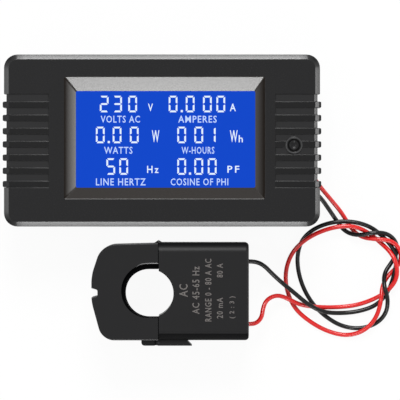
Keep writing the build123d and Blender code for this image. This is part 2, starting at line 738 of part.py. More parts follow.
def core_half(x_face, x_back):
    """C-shaped half of the core between its parting face and the outer side of its back."""
    (low0, low1), (high0, high1) = leg_bands()
    x0, x1 = min(x_face, x_back), max(x_face, x_back)
    core = block(x0, x1, low0, high1, CORE_Z0, CORE_Z1)
    if x_back > x_face:
        return core - block(x0 - 1, x1 - LEG_T, low1, high0, CORE_Z0 - 1, CORE_Z1 + 1)
    return core - block(x0 + LEG_T, x1 + 1, low1, high0, CORE_Z0 - 1, CORE_Z1 + 1)


def jaw_core_pad():
    """Foam strip that presses the jaw's core against the fixed one."""
    (low0, _), (_, high1) = leg_bands()
    return block(JAW_CORE_X - PAD_T, JAW_CORE_X, low0, high1, CORE_Z0, CORE_Z1)


def bobbin_sections():
    """X and Z ranges of the bobbin's bore, its tube and its flanges."""
    bore = (CORE_BACK_X - LEG_T - CORE_FIT, CORE_BACK_X + CORE_FIT, CORE_Z0 - CORE_FIT, CORE_Z1 + CORE_FIT)
    tube = tuple(v + s * BOBBIN_WALL for v, s in zip(bore, (-1, 1, -1, 1)))
    flange = (bore[0] - FLANGE_REACH, bore[1] + FLANGE_REACH + 1, SHELL_T + 0.2, SENSOR_T - SHELL_T - 0.2)
    return bore, tube, flange


def bobbin():
    """Winding former on the back of the fixed core."""
    bore, tube, flange = bobbin_sections()
    y0, y1 = APERTURE_Y - LEG_IN + CORE_FIT, APERTURE_Y + LEG_IN - CORE_FIT
    former = block(tube[0], tube[1], y0, y1, tube[2], tube[3])
    for low, high in ((y0, y0 + FLANGE_T), (y1 - FLANGE_T, y1)):
        former += block(flange[0], flange[1], low, high, flange[2], flange[3])
    return former - block(bore[0], bore[1], y0 - 1, y1 + 1, bore[2], bore[3])


def winding():
    """Copper winding between the bobbin's flanges."""
    _, tube, flange = bobbin_sections()
    y0 = APERTURE_Y - LEG_IN + CORE_FIT + FLANGE_T
    y1 = APERTURE_Y + LEG_IN - CORE_FIT - FLANGE_T
    coil = block(
        flange[0] + WINDING_GAP,
        flange[1] - WINDING_GAP,
        y0,
        y1,
        flange[2] + WINDING_GAP,
        flange[3] - WINDING_GAP,
    )
    coil = fillet(coil.edges().filter_by(Axis.Y), 1.0)
    return coil - block(tube[0], tube[1], y0 - 1, y1 + 1, tube[2], tube[3])


def exit_places():
    """Y and Z of the two lead exits."""
    return [route[-1][1:] for route in (BLACK_ROUTE, RED_ROUTE)]


def sensor_end_cap():
    """Plate that closes the winding chamber, with two holes for the grommets."""
    x1 = SENSOR_X1 - END_RECESS
    fit = 0.05
    plate = block(
        x1 - END_CAP_T,
        x1,
        SENSOR_Y0 + SHELL_T + fit,
        SENSOR_Y1 - SHELL_T - fit,
        SHELL_T + fit,
        SENSOR_T - SHELL_T - fit,
    )
    for y, z in exit_places():
        plate -= bar(x1 - END_CAP_T - 1, x1 + 1, y, z, GROMMET_R + 0.02)
    return plate


def lead_grommets():
    """Two round grommets that the leads leave from."""
    grommets = [bar(SENSOR_X1 - GROMMET_L, SENSOR_X1, y, z, GROMMET_R) for y, z in exit_places()]
    return Compound(children=grommets)


def hinge_pin():
    """Steel pin through the knuckles."""
    return post(PARTING_X, HINGE_Y, STRAP_Z0, STRAP_Z1, HINGE_PIN_R - 0.01)


def lead(name, route):
    """Flexible lead, eight-sided, on straight runs joined by arcs as large as the runs allow."""
    points = [Vector(*p) for p in route]
    runs = [b - a for a, b in zip(points, points[1:])]
    radii = []
    for before, after in zip(runs, runs[1:]):
        turn = math.radians(before.get_angle(after))
        radii.append(0.45 * min(before.length, after.length) / math.tan(turn / 2))
    path = FilletPolyline(*points, radius=radii)
    section = Plane(origin=points[0], z_dir=runs[0]) * RegularPolygon(LEAD_R, LEAD_SIDES)
    tube = sweep(section, path=path)
    expected = section.area * path.length
    print(name, "length", round(path.length, 1), "radii", [round(r, 1) for r in radii])
    print(name, "volume", round(tube.volume, 1), "section times length", round(expected, 1))
    return tube


PARTS = {
    "front_shell": front_shell,
    "rear_housing": rear_housing,
    "case_screws": case_screws,
    "lcd_glass": lcd_glass,
    "backlight_panel": backlight_panel,
    "display_frame": display_frame,
    "display_pins": display_pins,
    "main_board": main_board,
    "metering_chip": lambda: legged_chip(-14.0, -7.0, 10.2, 7.5, 2.4, 8, 1.27),
    "controller_chip": lambda: legged_chip(1.0, -6.0, 7.0, 7.0, 1.6, 8, 0.8),
    "memory_chip": lambda: legged_chip(13.0, -6.0, 4.9, 3.9, 1.6, 4, 1.27),
    "crystal": crystal,
    "film_capacitor": film_capacitor,
    "filter_capacitors": filter_capacitors,
    "dropper_resistor": dropper_resistor,
    "rectifier_diodes": rectifier_diodes,
    "switch_body": switch_body,
    "switch_plunger": switch_plunger,
    "button_cap": button_cap,
    "terminal_block": terminal_block,
    "terminal_contacts": terminal_contacts,
    "black_wire_end": lambda: wire_end(POLE_Y[0]),
    "red_wire_end": lambda: wire_end(RED_ROUTE[0][1]),
    "red_lead": lambda: lead("red_lead", RED_ROUTE),
    "black_lead": lambda: lead("black_lead", BLACK_ROUTE),
    "sensor_body": sensor_body,
    "sensor_end_cap": sensor_end_cap,
    "lead_grommets": lead_grommets,
    "fixed_core": lambda: core_half(PARTING_X + PARTING_GAP / 2, CORE_BACK_X),
    "bobbin": bobbin,
    "winding": winding,
    "jaw_shell": jaw_shell,
    "jaw_core": lambda: core_half(PARTING_X - PARTING_GAP / 2, JAW_CORE_X),
    "jaw_core_pad": jaw_core_pad,
    "hinge_pin": hinge_pin,
}
for number, pole in enumerate(POLE_Y, start=1):
    PARTS[f"terminal_screw_{number}"] = lambda y=pole: clamp_screw(y)
    PARTS[f"terminal_cage_{number}"] = lambda y=pole: clamp_cage(y)

for node, make in PARTS.items():
    export_step(make(), f"parts/{node}.step")
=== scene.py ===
"""Looks of a panel power meter and its clamp sensor: shells, display, button, leads and studio."""

import json
import logging
import math
from collections.abc import Callable
from dataclasses import dataclass, field
from enum import Enum

import bpy
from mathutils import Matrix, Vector


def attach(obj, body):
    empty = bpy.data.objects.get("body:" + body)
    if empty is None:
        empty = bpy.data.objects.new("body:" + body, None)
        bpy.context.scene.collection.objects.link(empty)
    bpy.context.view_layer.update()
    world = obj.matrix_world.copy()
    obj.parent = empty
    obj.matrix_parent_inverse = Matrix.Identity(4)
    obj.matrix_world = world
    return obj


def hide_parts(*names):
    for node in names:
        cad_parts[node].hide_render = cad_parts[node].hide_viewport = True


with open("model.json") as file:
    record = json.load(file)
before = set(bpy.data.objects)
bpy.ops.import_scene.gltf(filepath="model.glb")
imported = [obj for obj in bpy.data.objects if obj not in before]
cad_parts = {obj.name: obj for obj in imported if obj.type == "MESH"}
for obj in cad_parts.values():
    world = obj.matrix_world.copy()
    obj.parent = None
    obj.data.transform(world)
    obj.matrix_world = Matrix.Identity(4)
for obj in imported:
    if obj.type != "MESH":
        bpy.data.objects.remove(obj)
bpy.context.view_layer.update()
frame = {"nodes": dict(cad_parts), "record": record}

log = logging.getLogger("power_meter")
MM = 0.001
ROOT = "meter_and_fixed_sensor_half"
# Slack in millimetres at a plane, and round a region
NEAR = 0.01
SLACK = 0.1
# How far in millimetres a tool reaches past what it cuts, and an added solid stands in its neighbour
PAST = 1.0
BURY = 0.1
# Least part of a direction along an axis that counts as straight, and as level
STRAIGHT = 0.9
LEVEL = 0.99
# Greatest height of a wall's normal, and the range of a slope's
WALL = 0.1
SLOPED = (0.3, 0.97)
# Sides of a round bar, and the greatest angle in degrees that is shaded smooth
ROUND_SIDES = 64
SMOOTH_ANGLE = 20.0
PAPER = (1.0, 1.0, 1.0, 1.0)
Colour = tuple[float, float, float, float]
Sides = tuple[float, float, float, float]
Point = tuple[float, float, float]
Span = tuple[float, float]
Test = Callable[[Vector, Vector], bool]
Value = float | tuple[float, ...] | bpy.types.NodeSocket


class Join(Enum):
    """How one solid works on another."""

    CUT = "DIFFERENCE"
    ADD = "UNION"


class Kind(Enum):
    """What part of a mesh is picked."""

    EDGE = "EDGE"
    FACE = "FACE"


def srgb(red: float, green: float, blue: float) -> Colour:
    """Turn a colour from 0-255 display values into linear light.

    Args:
        red: Red, 0 to 255.
        green: Green, 0 to 255.
        blue: Blue, 0 to 255.

    Returns:
        Linear red, green, blue and an alpha of 1.
    """
    linear = []
    for value in (red, green, blue):
        part = value / 255
        linear.append(part / 12.92 if part <= 0.04045 else ((part + 0.055) / 1.055) ** 2.4)
    return (linear[0], linear[1], linear[2], 1.0)


def feed(tree: bpy.types.NodeTree, node: bpy.types.Node, inputs: dict[str | int, Value]) -> None:
    """Set or wire some inputs of a node.

    Args:
        tree: The node tree.
        node: The node that is fed.
        inputs: By an input's name or number, its plain value or the socket that feeds it.
    """
    for name, value in inputs.items():
        if isinstance(value, bpy.types.NodeSocket):
            tree.links.new(value, node.inputs[name])
        else:
            node.inputs[name].default_value = value


def add_node(
    tree: bpy.types.NodeTree, kind: str, inputs: dict[str | int, Value], operation: str = ""
) -> bpy.types.Node:
    """Add a node to a node tree.

    Args:
        tree: The node tree.
        kind: The node's type.
        inputs: By an input's name or number, its plain value or the socket that feeds it.
        operation: What a node that calculates does.

    Returns:
        The new node.
    """
    node = tree.nodes.new(kind)
    if operation:
        node.operation = operation
    feed(tree, node, inputs)
    return node


@dataclass(frozen=True)
class Fade:
    """Where gloss fades: a span in millimetres along one axis or more, and the share that is left."""

    spans: tuple[tuple[int, float, float], ...]
    left: float

    def share(self, tree: bpy.types.NodeTree, place: bpy.types.NodeSocket) -> bpy.types.NodeSocket:
        """Work out the share of the gloss at each place.

        Args:
            tree: The material's node tree.
            place: The socket with the place on the object.

        Returns:
            The socket that carries the share, 1 before the spans and the share left after them.
        """
        parts = add_node(tree, "ShaderNodeSeparateXYZ", {"Vector": place})
        faded = None
        for axis, start, end in self.spans:
            size = add_node(tree, "ShaderNodeMath", {0: parts.outputs[axis]}, "ABSOLUTE")
            span = {"From Min": start * MM, "From Max": end * MM, "Value": size.outputs["Value"]}
            along = add_node(tree, "ShaderNodeMapRange", span).outputs["Result"]
            if faded:
                along = add_node(tree, "ShaderNodeMath", {0: faded, 1: along}, "MULTIPLY").outputs["Value"]
            faded = along
        ends = {"To Min": 1.0, "To Max": self.left, "Value": faded}
        return add_node(tree, "ShaderNodeMapRange", ends).outputs["Result"]


@dataclass(frozen=True)
class Finish:
    """A surface finish with fine grain, soft mottling, an optional clear coat and glow."""

    name: str
    color: Colour
    roughness: float = 0.5
    metallic: float = 0.0
    specular: float = 0.5
    coat: float = 0.0
    coat_roughness: float = 0.08
    grain_mm: float = 0.25
    grain_detail: float = 3.0
    grain_depth_mm: float = 0.004
    grain_spread: float = 0.06
    cloud_size: float = 24.0
    cloud_detail: float = 4.0
    mottle: float = 0.08
    glow: Colour | None = None
    fade: Fade | None = None

    def noise(
        self, tree: bpy.types.NodeTree, place: bpy.types.NodeSocket, size_mm: float, detail: float
    ) -> bpy.types.NodeSocket:
        """Add a noise over the object.

        Args:
            tree: The material's node tree.
            place: The socket with the place on the object.
            size_mm: Size of its grains in millimetres.
            detail: How many finer layers it has.

        Returns:
            The socket that carries it, 0 to 1.
        """
        inputs = {"Vector": place, "Scale": 1 / (size_mm * MM), "Detail": detail}
        return add_node(tree, "ShaderNodeTexNoise", inputs).outputs["Fac"]

    def material(self) -> bpy.types.Material:
        """Build the node material, once.

        Returns:
            The material of this finish.
        """
        found = bpy.data.materials.get(self.name)
        if found:
            return found
        made = bpy.data.materials.new(self.name)
        made.use_nodes = True
        tree = made.node_tree
        place = add_node(tree, "ShaderNodeTexCoord", {}).outputs["Object"]
        grain = self.noise(tree, place, self.grain_mm, self.grain_detail)
        cloud = self.noise(tree, place, self.grain_mm * self.cloud_size, self.cloud_detail)
        relief = {"Strength": 1.0, "Distance": self.grain_depth_mm * MM, "Height": grain}
        bump = add_node(tree, "ShaderNodeBump", relief)
        tones = {"To Min": 1 - self.mottle, "To Max": 1 + self.mottle, "Value": cloud}
        tone = add_node(tree, "ShaderNodeMapRange", tones).outputs["Result"]
        shade = add_node(tree, "ShaderNodeVectorMath", {0: self.color[:3], "Scale": tone}, "SCALE")
        smoothest = max(0.02, self.roughness - self.grain_spread)
        roughest = min(1.0, self.roughness + self.grain_spread)
        rough = add_node(
            tree, "ShaderNodeMapRange", {"To Min": smoothest, "To Max": roughest, "Value": grain}
        )
        gloss = self.specular
        if self.fade:
            share = self.fade.share(tree, place)
            gloss = add_node(tree, "ShaderNodeMath", {0: share, 1: gloss}, "MULTIPLY").outputs["Value"]
        inputs = {
            "Base Color": shade.outputs["Vector"],
            "Metallic": self.metallic,
            "Roughness": rough.outputs["Result"],
            "Normal": bump.outputs["Normal"],
            "Specular IOR Level": gloss,
            "Coat Weight": self.coat,
            "Coat Roughness": self.coat_roughness,
        }
        if self.glow:
            inputs |= {"Emission Color": self.glow, "Emission Strength": 1.0}
        feed(tree, tree.nodes["Principled BSDF"], inputs)
        return made


CASE = Finish("case_satin", srgb(22, 22, 23), roughness=0.26, specular=0.2, grain_depth_mm=0.0012)
EDGE = Finish(
    "case_edge_gloss",
    srgb(22, 22, 23),
    roughness=0.22,
    specular=0.74,
    grain_depth_mm=0.001,
    fade=Fade(((0, 38.5, 43.0), (1, 19.6, 22.8)), 0.08),
)
# Groove floors: the case plastic painted lighter than the face, painted light for how the grooves catch the
# light
GROOVE_PAINTED_LIGHT = Finish("groove_painted_light", srgb(26, 26, 27), roughness=0.4, specular=0.2)
# Rib tops: the case plastic painted darker than the face, painted shade
RIB_PAINTED_SHADE = Finish("rib_painted_shade", srgb(12, 12, 13), roughness=0.26, specular=0.2, grain_depth_mm=0.0012)
TRIM = Finish("trim_gloss", srgb(27, 22, 18), roughness=0.15, specular=0.4, grain_depth_mm=0.001)
TRIM_SIDE = Finish(
    "trim_side_gloss",
    srgb(27, 22, 18),
    roughness=0.15,
    specular=0.75,
    grain_depth_mm=0.001,
    fade=Fade(((2, 22.4, 24.2),), 0.05),
)
# Button ring: the case plastic painted lighter, a painted highlight round the hole, with a little more gloss
RING_PAINTED_HIGHLIGHT = Finish("ring_painted_highlight", srgb(40, 40, 41), roughness=0.4, specular=0.45)
# Lower round of the sensor: its plastic painted near black with almost no gloss, painted shade
UNDER_PAINTED_SHADE = Finish("sensor_lower_edge_painted_shade", srgb(10, 10, 11), roughness=0.5, specular=0.04)
SENSOR = Finish("sensor_satin", srgb(24, 24, 25), roughness=0.4, specular=0.15)
DISPLAY = Finish(
    "display_blue", srgb(3, 6, 20), roughness=0.2, specular=0.03, mottle=0.03, glow=srgb(13, 70, 201)
)
LIT = Finish("lit_segments", srgb(40, 44, 60), specular=0.1, mottle=0.02, glow=srgb(226, 240, 255))
CAPTION = Finish("lit_captions", srgb(40, 44, 60), specular=0.1, mottle=0.02, glow=srgb(188, 211, 255))
PANE = Finish("pane_edge", srgb(70, 84, 92), roughness=0.15, specular=0.5)
BUTTON = Finish("button_satin", srgb(16, 16, 17), roughness=0.3, specular=0.2)
# Aperture wall and rim ledge: the sensor plastic painted near black and matt, painted shade in the recess
BORE_PAINTED_SHADE = Finish("bore_painted_shade", srgb(7, 7, 8), roughness=0.95, specular=0.03)
# Rim's top edge: the dark plastic painted light grey with full gloss and coat, a painted highlight line
LIP_PAINTED_HIGHLIGHT = Finish("lip_painted_highlight", srgb(84, 84, 85), roughness=0.14, specular=1.0, coat=1.0, grain_depth_mm=0.001)
INK = Finish("sensor_ink", srgb(104, 100, 98), roughness=0.7, specular=0.2)
STEEL = Finish("zinc_steel", srgb(176, 177, 180), roughness=0.35, metallic=1.0)
DARK_PIN = Finish("blackened_pin", srgb(48, 48, 50), roughness=0.4, metallic=1.0)
TIN = Finish("tinned_copper", srgb(196, 194, 188), roughness=0.3, metallic=1.0)
BRASS = Finish("contact_brass", srgb(196, 160, 88), roughness=0.32, metallic=1.0)
CORE = Finish("core_laminations", srgb(120, 122, 126), roughness=0.45, metallic=1.0, grain_mm=0.15)
GREEN = Finish("terminal_moulding", srgb(30, 120, 70), roughness=0.5)
WHITE = Finish("white_moulding", srgb(215, 215, 208), roughness=0.5)
BOARD = Finish("solder_mask", srgb(18, 84, 46), roughness=0.35, coat=0.3)
CHIP = Finish("moulded_epoxy", srgb(36, 36, 37), roughness=0.6)
CAN = Finish("capacitor_sleeve", srgb(38, 42, 66), roughness=0.35)
FILM = Finish("potted_box", srgb(176, 60, 40), roughness=0.4)
RESISTOR = Finish("resistor_enamel", srgb(74, 140, 150), roughness=0.4)
FOAM = Finish("closed_foam", srgb(60, 60, 62), roughness=0.95, grain_mm=0.6, grain_depth_mm=0.05)
RUBBER = Finish("black_rubber", srgb(22, 22, 23), roughness=0.55)
COPPER = Finish("enamelled_copper", srgb(176, 92, 48), roughness=0.35, metallic=1.0)
RED = Finish("red_pvc", srgb(215, 18, 16), roughness=0.2, specular=0.5, grain_mm=0.4, grain_depth_mm=0.0003)
BLACK = Finish("black_pvc", srgb(6, 6, 7), roughness=0.2, specular=0.3, grain_mm=0.4, grain_depth_mm=0.0003)

FINISHES = {
    "case_black": CASE,
    "sensor_black": SENSOR,
    "display_glass": PANE,
    "button_black": BUTTON,
    "switch_black": CHIP,
    "zinc_steel": STEEL,
    "clamp_steel": STEEL,
    "pin_steel": DARK_PIN,
    "tinned_pin": TIN,
    "contact_brass": BRASS,
    "core_steel": CORE,
    "can_metal": STEEL,
    "terminal_green": GREEN,
    "frame_white": WHITE,
    "light_guide": WHITE,
    "bobbin_white": WHITE,
    "board_green": BOARD,
    "chip_black": CHIP,
    "capacitor_can": CAN,
    "capacitor_box": FILM,
    "resistor_body": RESISTOR,
    "pad_foam": FOAM,
    "winding_copper": COPPER,
    "grommet_rubber": RUBBER,
    "lead_red": RED,
    "lead_black": BLACK,
}


def bring(piece: bpy.types.Object) -> None:
    """Select one piece alone and make it active.

    Args:
        piece: The piece.
    """
    bpy.ops.object.select_all(action="DESELECT")
    piece.select_set(True)
    bpy.context.view_layer.objects.active = piece


def settle(piece: bpy.types.Object) -> None:
    """Move a piece's place, turn and size into its mesh."""
    bring(piece)
    bpy.ops.object.transform_apply(location=True, rotation=True, scale=True)


def block(name: str, low: Point, high: Point) -> bpy.types.Object:
    """Add a box between two corners.

    Args:
        name: Name of the piece.
        low: Lowest corner in millimetres.
        high: Highest corner in millimetres.

    Returns:
        The new piece.
    """
    bpy.ops.object.select_all(action="DESELECT")
    middle = [(a + b) / 2 * MM for a, b in zip(low, high)]
    size = [(b - a) * MM for a, b in zip(low, high)]
    bpy.ops.mesh.primitive_cube_add(size=1.0, location=middle, scale=size)
    piece = bpy.context.object
    piece.name = name
    settle(piece)
    return piece


def disc(name: str, centre: Span, z: Span, radius: float) -> bpy.types.Object:
    """Add an upright round bar.

    Args:
        name: Name of the piece.
        centre: X and Y of its axis in millimetres.
        z: Lowest and highest Z in millimetres.
        radius: Radius in millimetres.

    Returns:
        The new piece.
    """
    bpy.ops.object.select_all(action="DESELECT")
    bpy.ops.mesh.primitive_cylinder_add(
        vertices=ROUND_SIDES,
        radius=radius * MM,
        depth=(z[1] - z[0]) * MM,
        location=(centre[0] * MM, centre[1] * MM, (z[0] + z[1]) / 2 * MM),
    )
    piece = bpy.context.object
    piece.name = name
    settle(piece)
    return piece


def pick(piece: bpy.types.Object, kind: Kind, test: Test) -> None:
    """Enter edit mode with only the edges or faces selected that pass a test.

    Args:
        piece: The piece to edit.
        kind: Edges or faces.
        test: Takes the middle in millimetres, and the edge's direction or the face's normal.
    """
    bring(piece)
    bpy.ops.object.mode_set(mode="EDIT")
    bpy.ops.mesh.select_mode(type=kind.value)
    bpy.ops.mesh.select_all(action="DESELECT")
    bpy.ops.object.mode_set(mode="OBJECT")
    mesh = piece.data
    if kind is Kind.FACE:
        for face in mesh.polygons:
            face.select = test(face.center / MM, face.normal)
    else:
        for edge in mesh.edges:
            start, end = (mesh.vertices[k].co for k in edge.vertices)
            edge.select = test((start + end) / 2 / MM, (end - start).normalized())
    bpy.ops.object.mode_set(mode="EDIT")


def trim(piece: bpy.types.Object, point: Point, outward: Point) -> None:
    """Slice off what lies outside a plane and close the cut.

    Args:
        piece: The piece to slice.
        point: A point of the plane in millimetres.
        outward: The plane's normal, towards what is removed.
    """
    edit_all(piece)
    bpy.ops.mesh.bisect(
        plane_co=[value * MM for value in point],
        plane_no=Vector(outward).normalized(),
        use_fill=True,
        clear_outer=True,
    )
    leave_outward()


def leave() -> None:
    """Go back to object mode."""
    bpy.ops.object.mode_set(mode="OBJECT")


def edit_all(piece: bpy.types.Object) -> None:
    """Enter edit mode with the whole mesh selected.

    Args:
        piece: The piece to edit.
    """
    bring(piece)
    bpy.ops.object.mode_set(mode="EDIT")
    bpy.ops.mesh.select_all(action="SELECT")


def leave_outward() -> None:
    """Turn all faces of the edited mesh outwards and go back to object mode."""
    bpy.ops.mesh.select_all(action="SELECT")
    bpy.ops.mesh.normals_make_consistent(inside=False)
    leave()


def raise_up(piece: bpy.types.Object, low: float, thick: float) -> None:
    """Give a flat piece its thickness and set it on a surface.

    Args:
        piece: The flat piece, facing up.
        low: Height of its underside in millimetres.
        thick: Its thickness in millimetres.
    """
    edit_all(piece)
    bpy.ops.mesh.extrude_region_move(TRANSFORM_OT_translate={"value": (0, 0, thick * MM)})
    bpy.ops.mesh.select_all(action="SELECT")
    bpy.ops.transform.translate(value=(0, 0, low * MM))
    leave_outward()


def stands(mid: Vector, way: Vector) -> bool:
    """Say whether an edge stands upright."""
    return abs(way.z) > STRAIGHT


def faces_up(mid: Vector, normal: Vector) -> bool:
    """Say whether a face looks straight up."""
    return normal.z > STRAIGHT


def slopes(mid: Vector, normal: Vector) -> bool:
    """Say whether a face looks up at a slant."""
    return SLOPED[0] < normal.z < SLOPED[1]


def round_edges(piece: bpy.types.Object, width: float, segments: int, test: Test) -> None:
    """Round the edges that pass a test.

    Args:
        piece: The piece to edit.
        width: Radius in millimetres.
        segments: Steps in the round.
        test: Takes an edge's middle in millimetres and its direction.
    """
    pick(piece, Kind.EDGE, test)
    bpy.ops.mesh.bevel(offset=width * MM, offset_type="OFFSET", segments=segments, affect="EDGES")
    leave()


def ease(
    piece: bpy.types.Object, width: float, test: Callable[[Vector], bool], angle: float = 40.0
) -> None:
    """Take the sharpness off the crisp edges in one region.

    Args:
        piece: The piece to edit.
        width: Width of the eased edge in millimetres.
        test: Takes an edge's middle in millimetres.
        angle: Least angle between two faces, in degrees.
    """
    bring(piece)
    bpy.ops.object.mode_set(mode="EDIT")
    bpy.ops.mesh.select_mode(type="EDGE")
    bpy.ops.mesh.select_all(action="DESELECT")
    bpy.ops.mesh.edges_select_sharp(sharpness=math.radians(angle))
    leave()
    mesh = piece.data
    for edge in mesh.edges:
        start, end = (mesh.vertices[k].co for k in edge.vertices)
        edge.select = edge.select and test((start + end) / 2 / MM)
    for face in mesh.polygons:
        face.select = False
    bpy.ops.object.mode_set(mode="EDIT")
    bpy.ops.mesh.bevel(
        offset=width * MM, offset_type="OFFSET", segments=2, affect="EDGES", clamp_overlap=False
    )
    leave()


def work(piece: bpy.types.Object, tool: bpy.types.Object, how: Join) -> None:
    """Cut a solid from another or add it, and use the tool up.

    Args:
        piece: The piece that is changed.
        tool: The solid that is used up.
        how: What it does.
    """
    bring(piece)
    change = piece.modifiers.new("work", "BOOLEAN")
    change.operation = how.value
    change.solver = "EXACT"
    change.object = tool
    bpy.ops.object.modifier_apply(modifier=change.name)
    bpy.data.objects.remove(tool, do_unlink=True)


def copy_at(master: bpy.types.Object, shift: Point, flip: Span = (1.0, 1.0)) -> bpy.types.Object:
    """Copy a piece with its own mesh, mirrored and moved.

    Args:
        master: The piece to copy.
        shift: Move in millimetres.
        flip: Scale in X and Y, minus for a mirror.

    Returns:
        The copy.
    """
    bring(master)
    bpy.ops.object.duplicate()
    piece = bpy.context.object
    piece.scale = (flip[0], flip[1], 1.0)
    piece.location = [value * MM for value in shift]
    settle(piece)
    return piece


def gather(pieces: list[bpy.types.Object], name: str) -> bpy.types.Object:
    """Join pieces into one and turn all its faces outwards.

    Args:
        pieces: The pieces to join.
        name: Name of the result.

    Returns:
        The joined piece.
    """
    bring(pieces[0])
    for piece in pieces[1:]:
        piece.select_set(True)
    if len(pieces) > 1:
        bpy.ops.object.join()
    whole = bpy.context.object
    whole.name = name
    edit_all(whole)
    leave_outward()
    return whole


def dress(piece: bpy.types.Object, finish: Finish) -> None:
    """Give a piece one material all over."""
    piece.data.materials.clear()
    piece.data.materials.append(finish.material())


def dress_faces(piece: bpy.types.Object, finish: Finish, test: Test) -> None:
    """Give some faces of a piece a second material.

    Args:
        piece: The piece.
        finish: Their finish.
        test: Takes a face's middle in millimetres and its normal.
    """
    piece.data.materials.append(finish.material())
    pick(piece, Kind.FACE, test)
    piece.active_material_index = len(piece.data.materials) - 1
    bpy.ops.object.material_slot_assign()
    leave()


def settle_on(piece: bpy.types.Object, body: str, replaced: str | None = None) -> None:
    """Smooth a finished piece, hang it on the body that carries it and hide the node that it stands for.

    Args:
        piece: The finished piece.
        body: The body that carries it.
        replaced: The node that it stands for, if any.
    """
    bring(piece)
    bpy.ops.object.shade_smooth_by_angle(angle=math.radians(SMOOTH_ANGLE))
    even = piece.modifiers.new("even", "WEIGHTED_NORMAL")
    even.keep_sharp = True
    bpy.ops.object.modifier_apply(modifier=even.name)
    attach(piece, body)
    if replaced:
        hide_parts(replaced)
    log.info("built %s on %s", piece.name, body)


def dress_nodes() -> None:
    """Dress every modelled node by its slot."""
    slots = {row["node"]: row["material_slot"] for row in frame["record"]["subparts"]}
    for name, piece in frame["nodes"].items():
        dress(piece, FINISHES[slots[name]])


@dataclass
class Lead:
    """A flexible lead from a terminal to the sensor."""

    name: str
    slot: str
    finish: Finish
    node: str
    length_mm: float
    route: list[Point]
    diameter_mm: float = 1.25

    def build(self) -> bpy.types.Object:
        """Lay the lead along its route.

        Returns:
            The curve object.
        """
        curve = bpy.data.curves.new(self.name, "CURVE")
        curve.dimensions = "3D"
        spline = curve.splines.new("NURBS")
        spline.points.add(len(self.route) - 1)
        for point, place in zip(spline.points, self.route):
            point.co = (place[0] * MM, place[1] * MM, place[2] * MM, 1.0)
        spline.order_u = 3
        spline.use_endpoint_u = True
        spline.resolution_u = 8
        curve.bevel_depth = self.diameter_mm * MM / 2
        curve.bevel_resolution = 5
        curve.use_fill_caps = True
        piece = bpy.data.objects.new(self.name, curve)
        bpy.context.scene.collection.objects.link(piece)
        piece.data.materials.append(self.finish.material())
        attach(piece, ROOT)
        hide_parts(self.node)
        return piece


# Height in millimetres of a wire in its terminal, and of a lead that lies on the table
WIRE_Z = 7.3
BED = 0.65
RED_ROUTE = [
    (37.6, -8.3, WIRE_Z), (40.2, -8.3, WIRE_Z), (42.8, -9.9, 6.8), (45.0, -13.1, 4.8),
    (48.0, -16.6, 2.5), (51.2, -20.4, BED), (54.0, -25.2, BED), (57.0, -27.5, 1.4),
    (61.0, -27.9, 3.2), (65.0, -28.2, 3.1), (67.6, -30.4, 2.3), (68.2, -33.4, 1.2),
    (66.9, -36.0, BED), (64.2, -38.4, BED), (62.5, -41.6, 2.6), (62.4, -45.2, 3.8),
    (61.0, -50.4, 2.8), (57.6, -54.1, 2.1), (52.6, -55.6, 0.9), (46.8, -54.2, BED),
    (41.6, -51.2, BED), (37.6, -47.6, BED), (35.4, -42.6, BED), (35.0, -37.2, BED),
    (36.6, -32.2, 1.7), (39.8, -28.6, 2.3), (44.4, -25.9, 2.7), (49.6, -24.3, 3.1),
    (54.6, -24.1, 3.1), (58.8, -26.0, 1.7), (62.0, -28.7, 0.9), (65.2, -31.7, 3.1),
    (66.9, -35.4, 4.0), (66.8, -39.4, 2.9), (64.2, -42.8, 2.1), (60.0, -45.2, 1.3),
    (55.0, -46.9, BED), (49.4, -47.4, 0.8), (44.2, -47.3, 2.1), (39.4, -46.7, 2.3),
    (36.0, -45.0, 2.5), (33.4, -43.9, 3.3), (31.2, -44.2, 4.4), (29.4, -45.5, 5.4),
    (28.6, -47.6, 6.3), (28.3, -49.8, 6.9), (27.3, -51.3, 7.0), (25.9, -52.0, 7.0),
    (24.45, -52.0, 7.0),
]
BLACK_ROUTE = [
    (37.6, -13.4, WIRE_Z), (40.2, -13.4, WIRE_Z), (42.9, -14.2, 6.6), (45.2, -16.2, 4.6),
    (47.6, -19.6, 2.2), (49.8, -22.8, BED), (52.2, -25.9, 1.0), (55.8, -26.9, 2.7),
    (60.2, -26.0, 3.9), (63.4, -26.1, 3.0), (65.7, -27.4, 1.8), (67.0, -29.6, 0.9),
    (66.9, -32.0, BED), (65.5, -34.4, BED), (63.2, -37.6, 1.5), (63.1, -41.2, 4.1),
    (64.3, -44.8, 4.1), (63.9, -49.0, 2.0), (61.0, -52.2, BED), (56.0, -53.6, BED),
    (50.8, -52.7, BED), (46.2, -49.8, BED), (42.8, -46.4, BED), (40.2, -42.0, BED),
    (38.7, -37.2, BED), (38.4, -32.4, BED), (39.8, -27.8, 0.7), (43.6, -24.6, 1.6),
    (48.8, -22.9, 2.3), (54.2, -22.8, 2.3), (59.2, -24.2, 2.2), (62.8, -27.0, 1.3),
    (66.0, -30.6, 2.0), (66.8, -34.6, 2.3), (65.9, -38.8, 1.7), (64.3, -43.3, BED),
    (61.0, -46.9, BED), (56.0, -48.6, BED), (50.6, -49.1, 0.9), (45.6, -48.7, 3.1),
    (41.2, -46.3, 4.2), (37.6, -43.2, 3.8), (33.9, -40.2, 4.4), (31.2, -37.7, 5.6),
    (29.0, -35.4, 6.7), (26.6, -34.2, 7.0), (24.45, -34.2, 7.0),
]


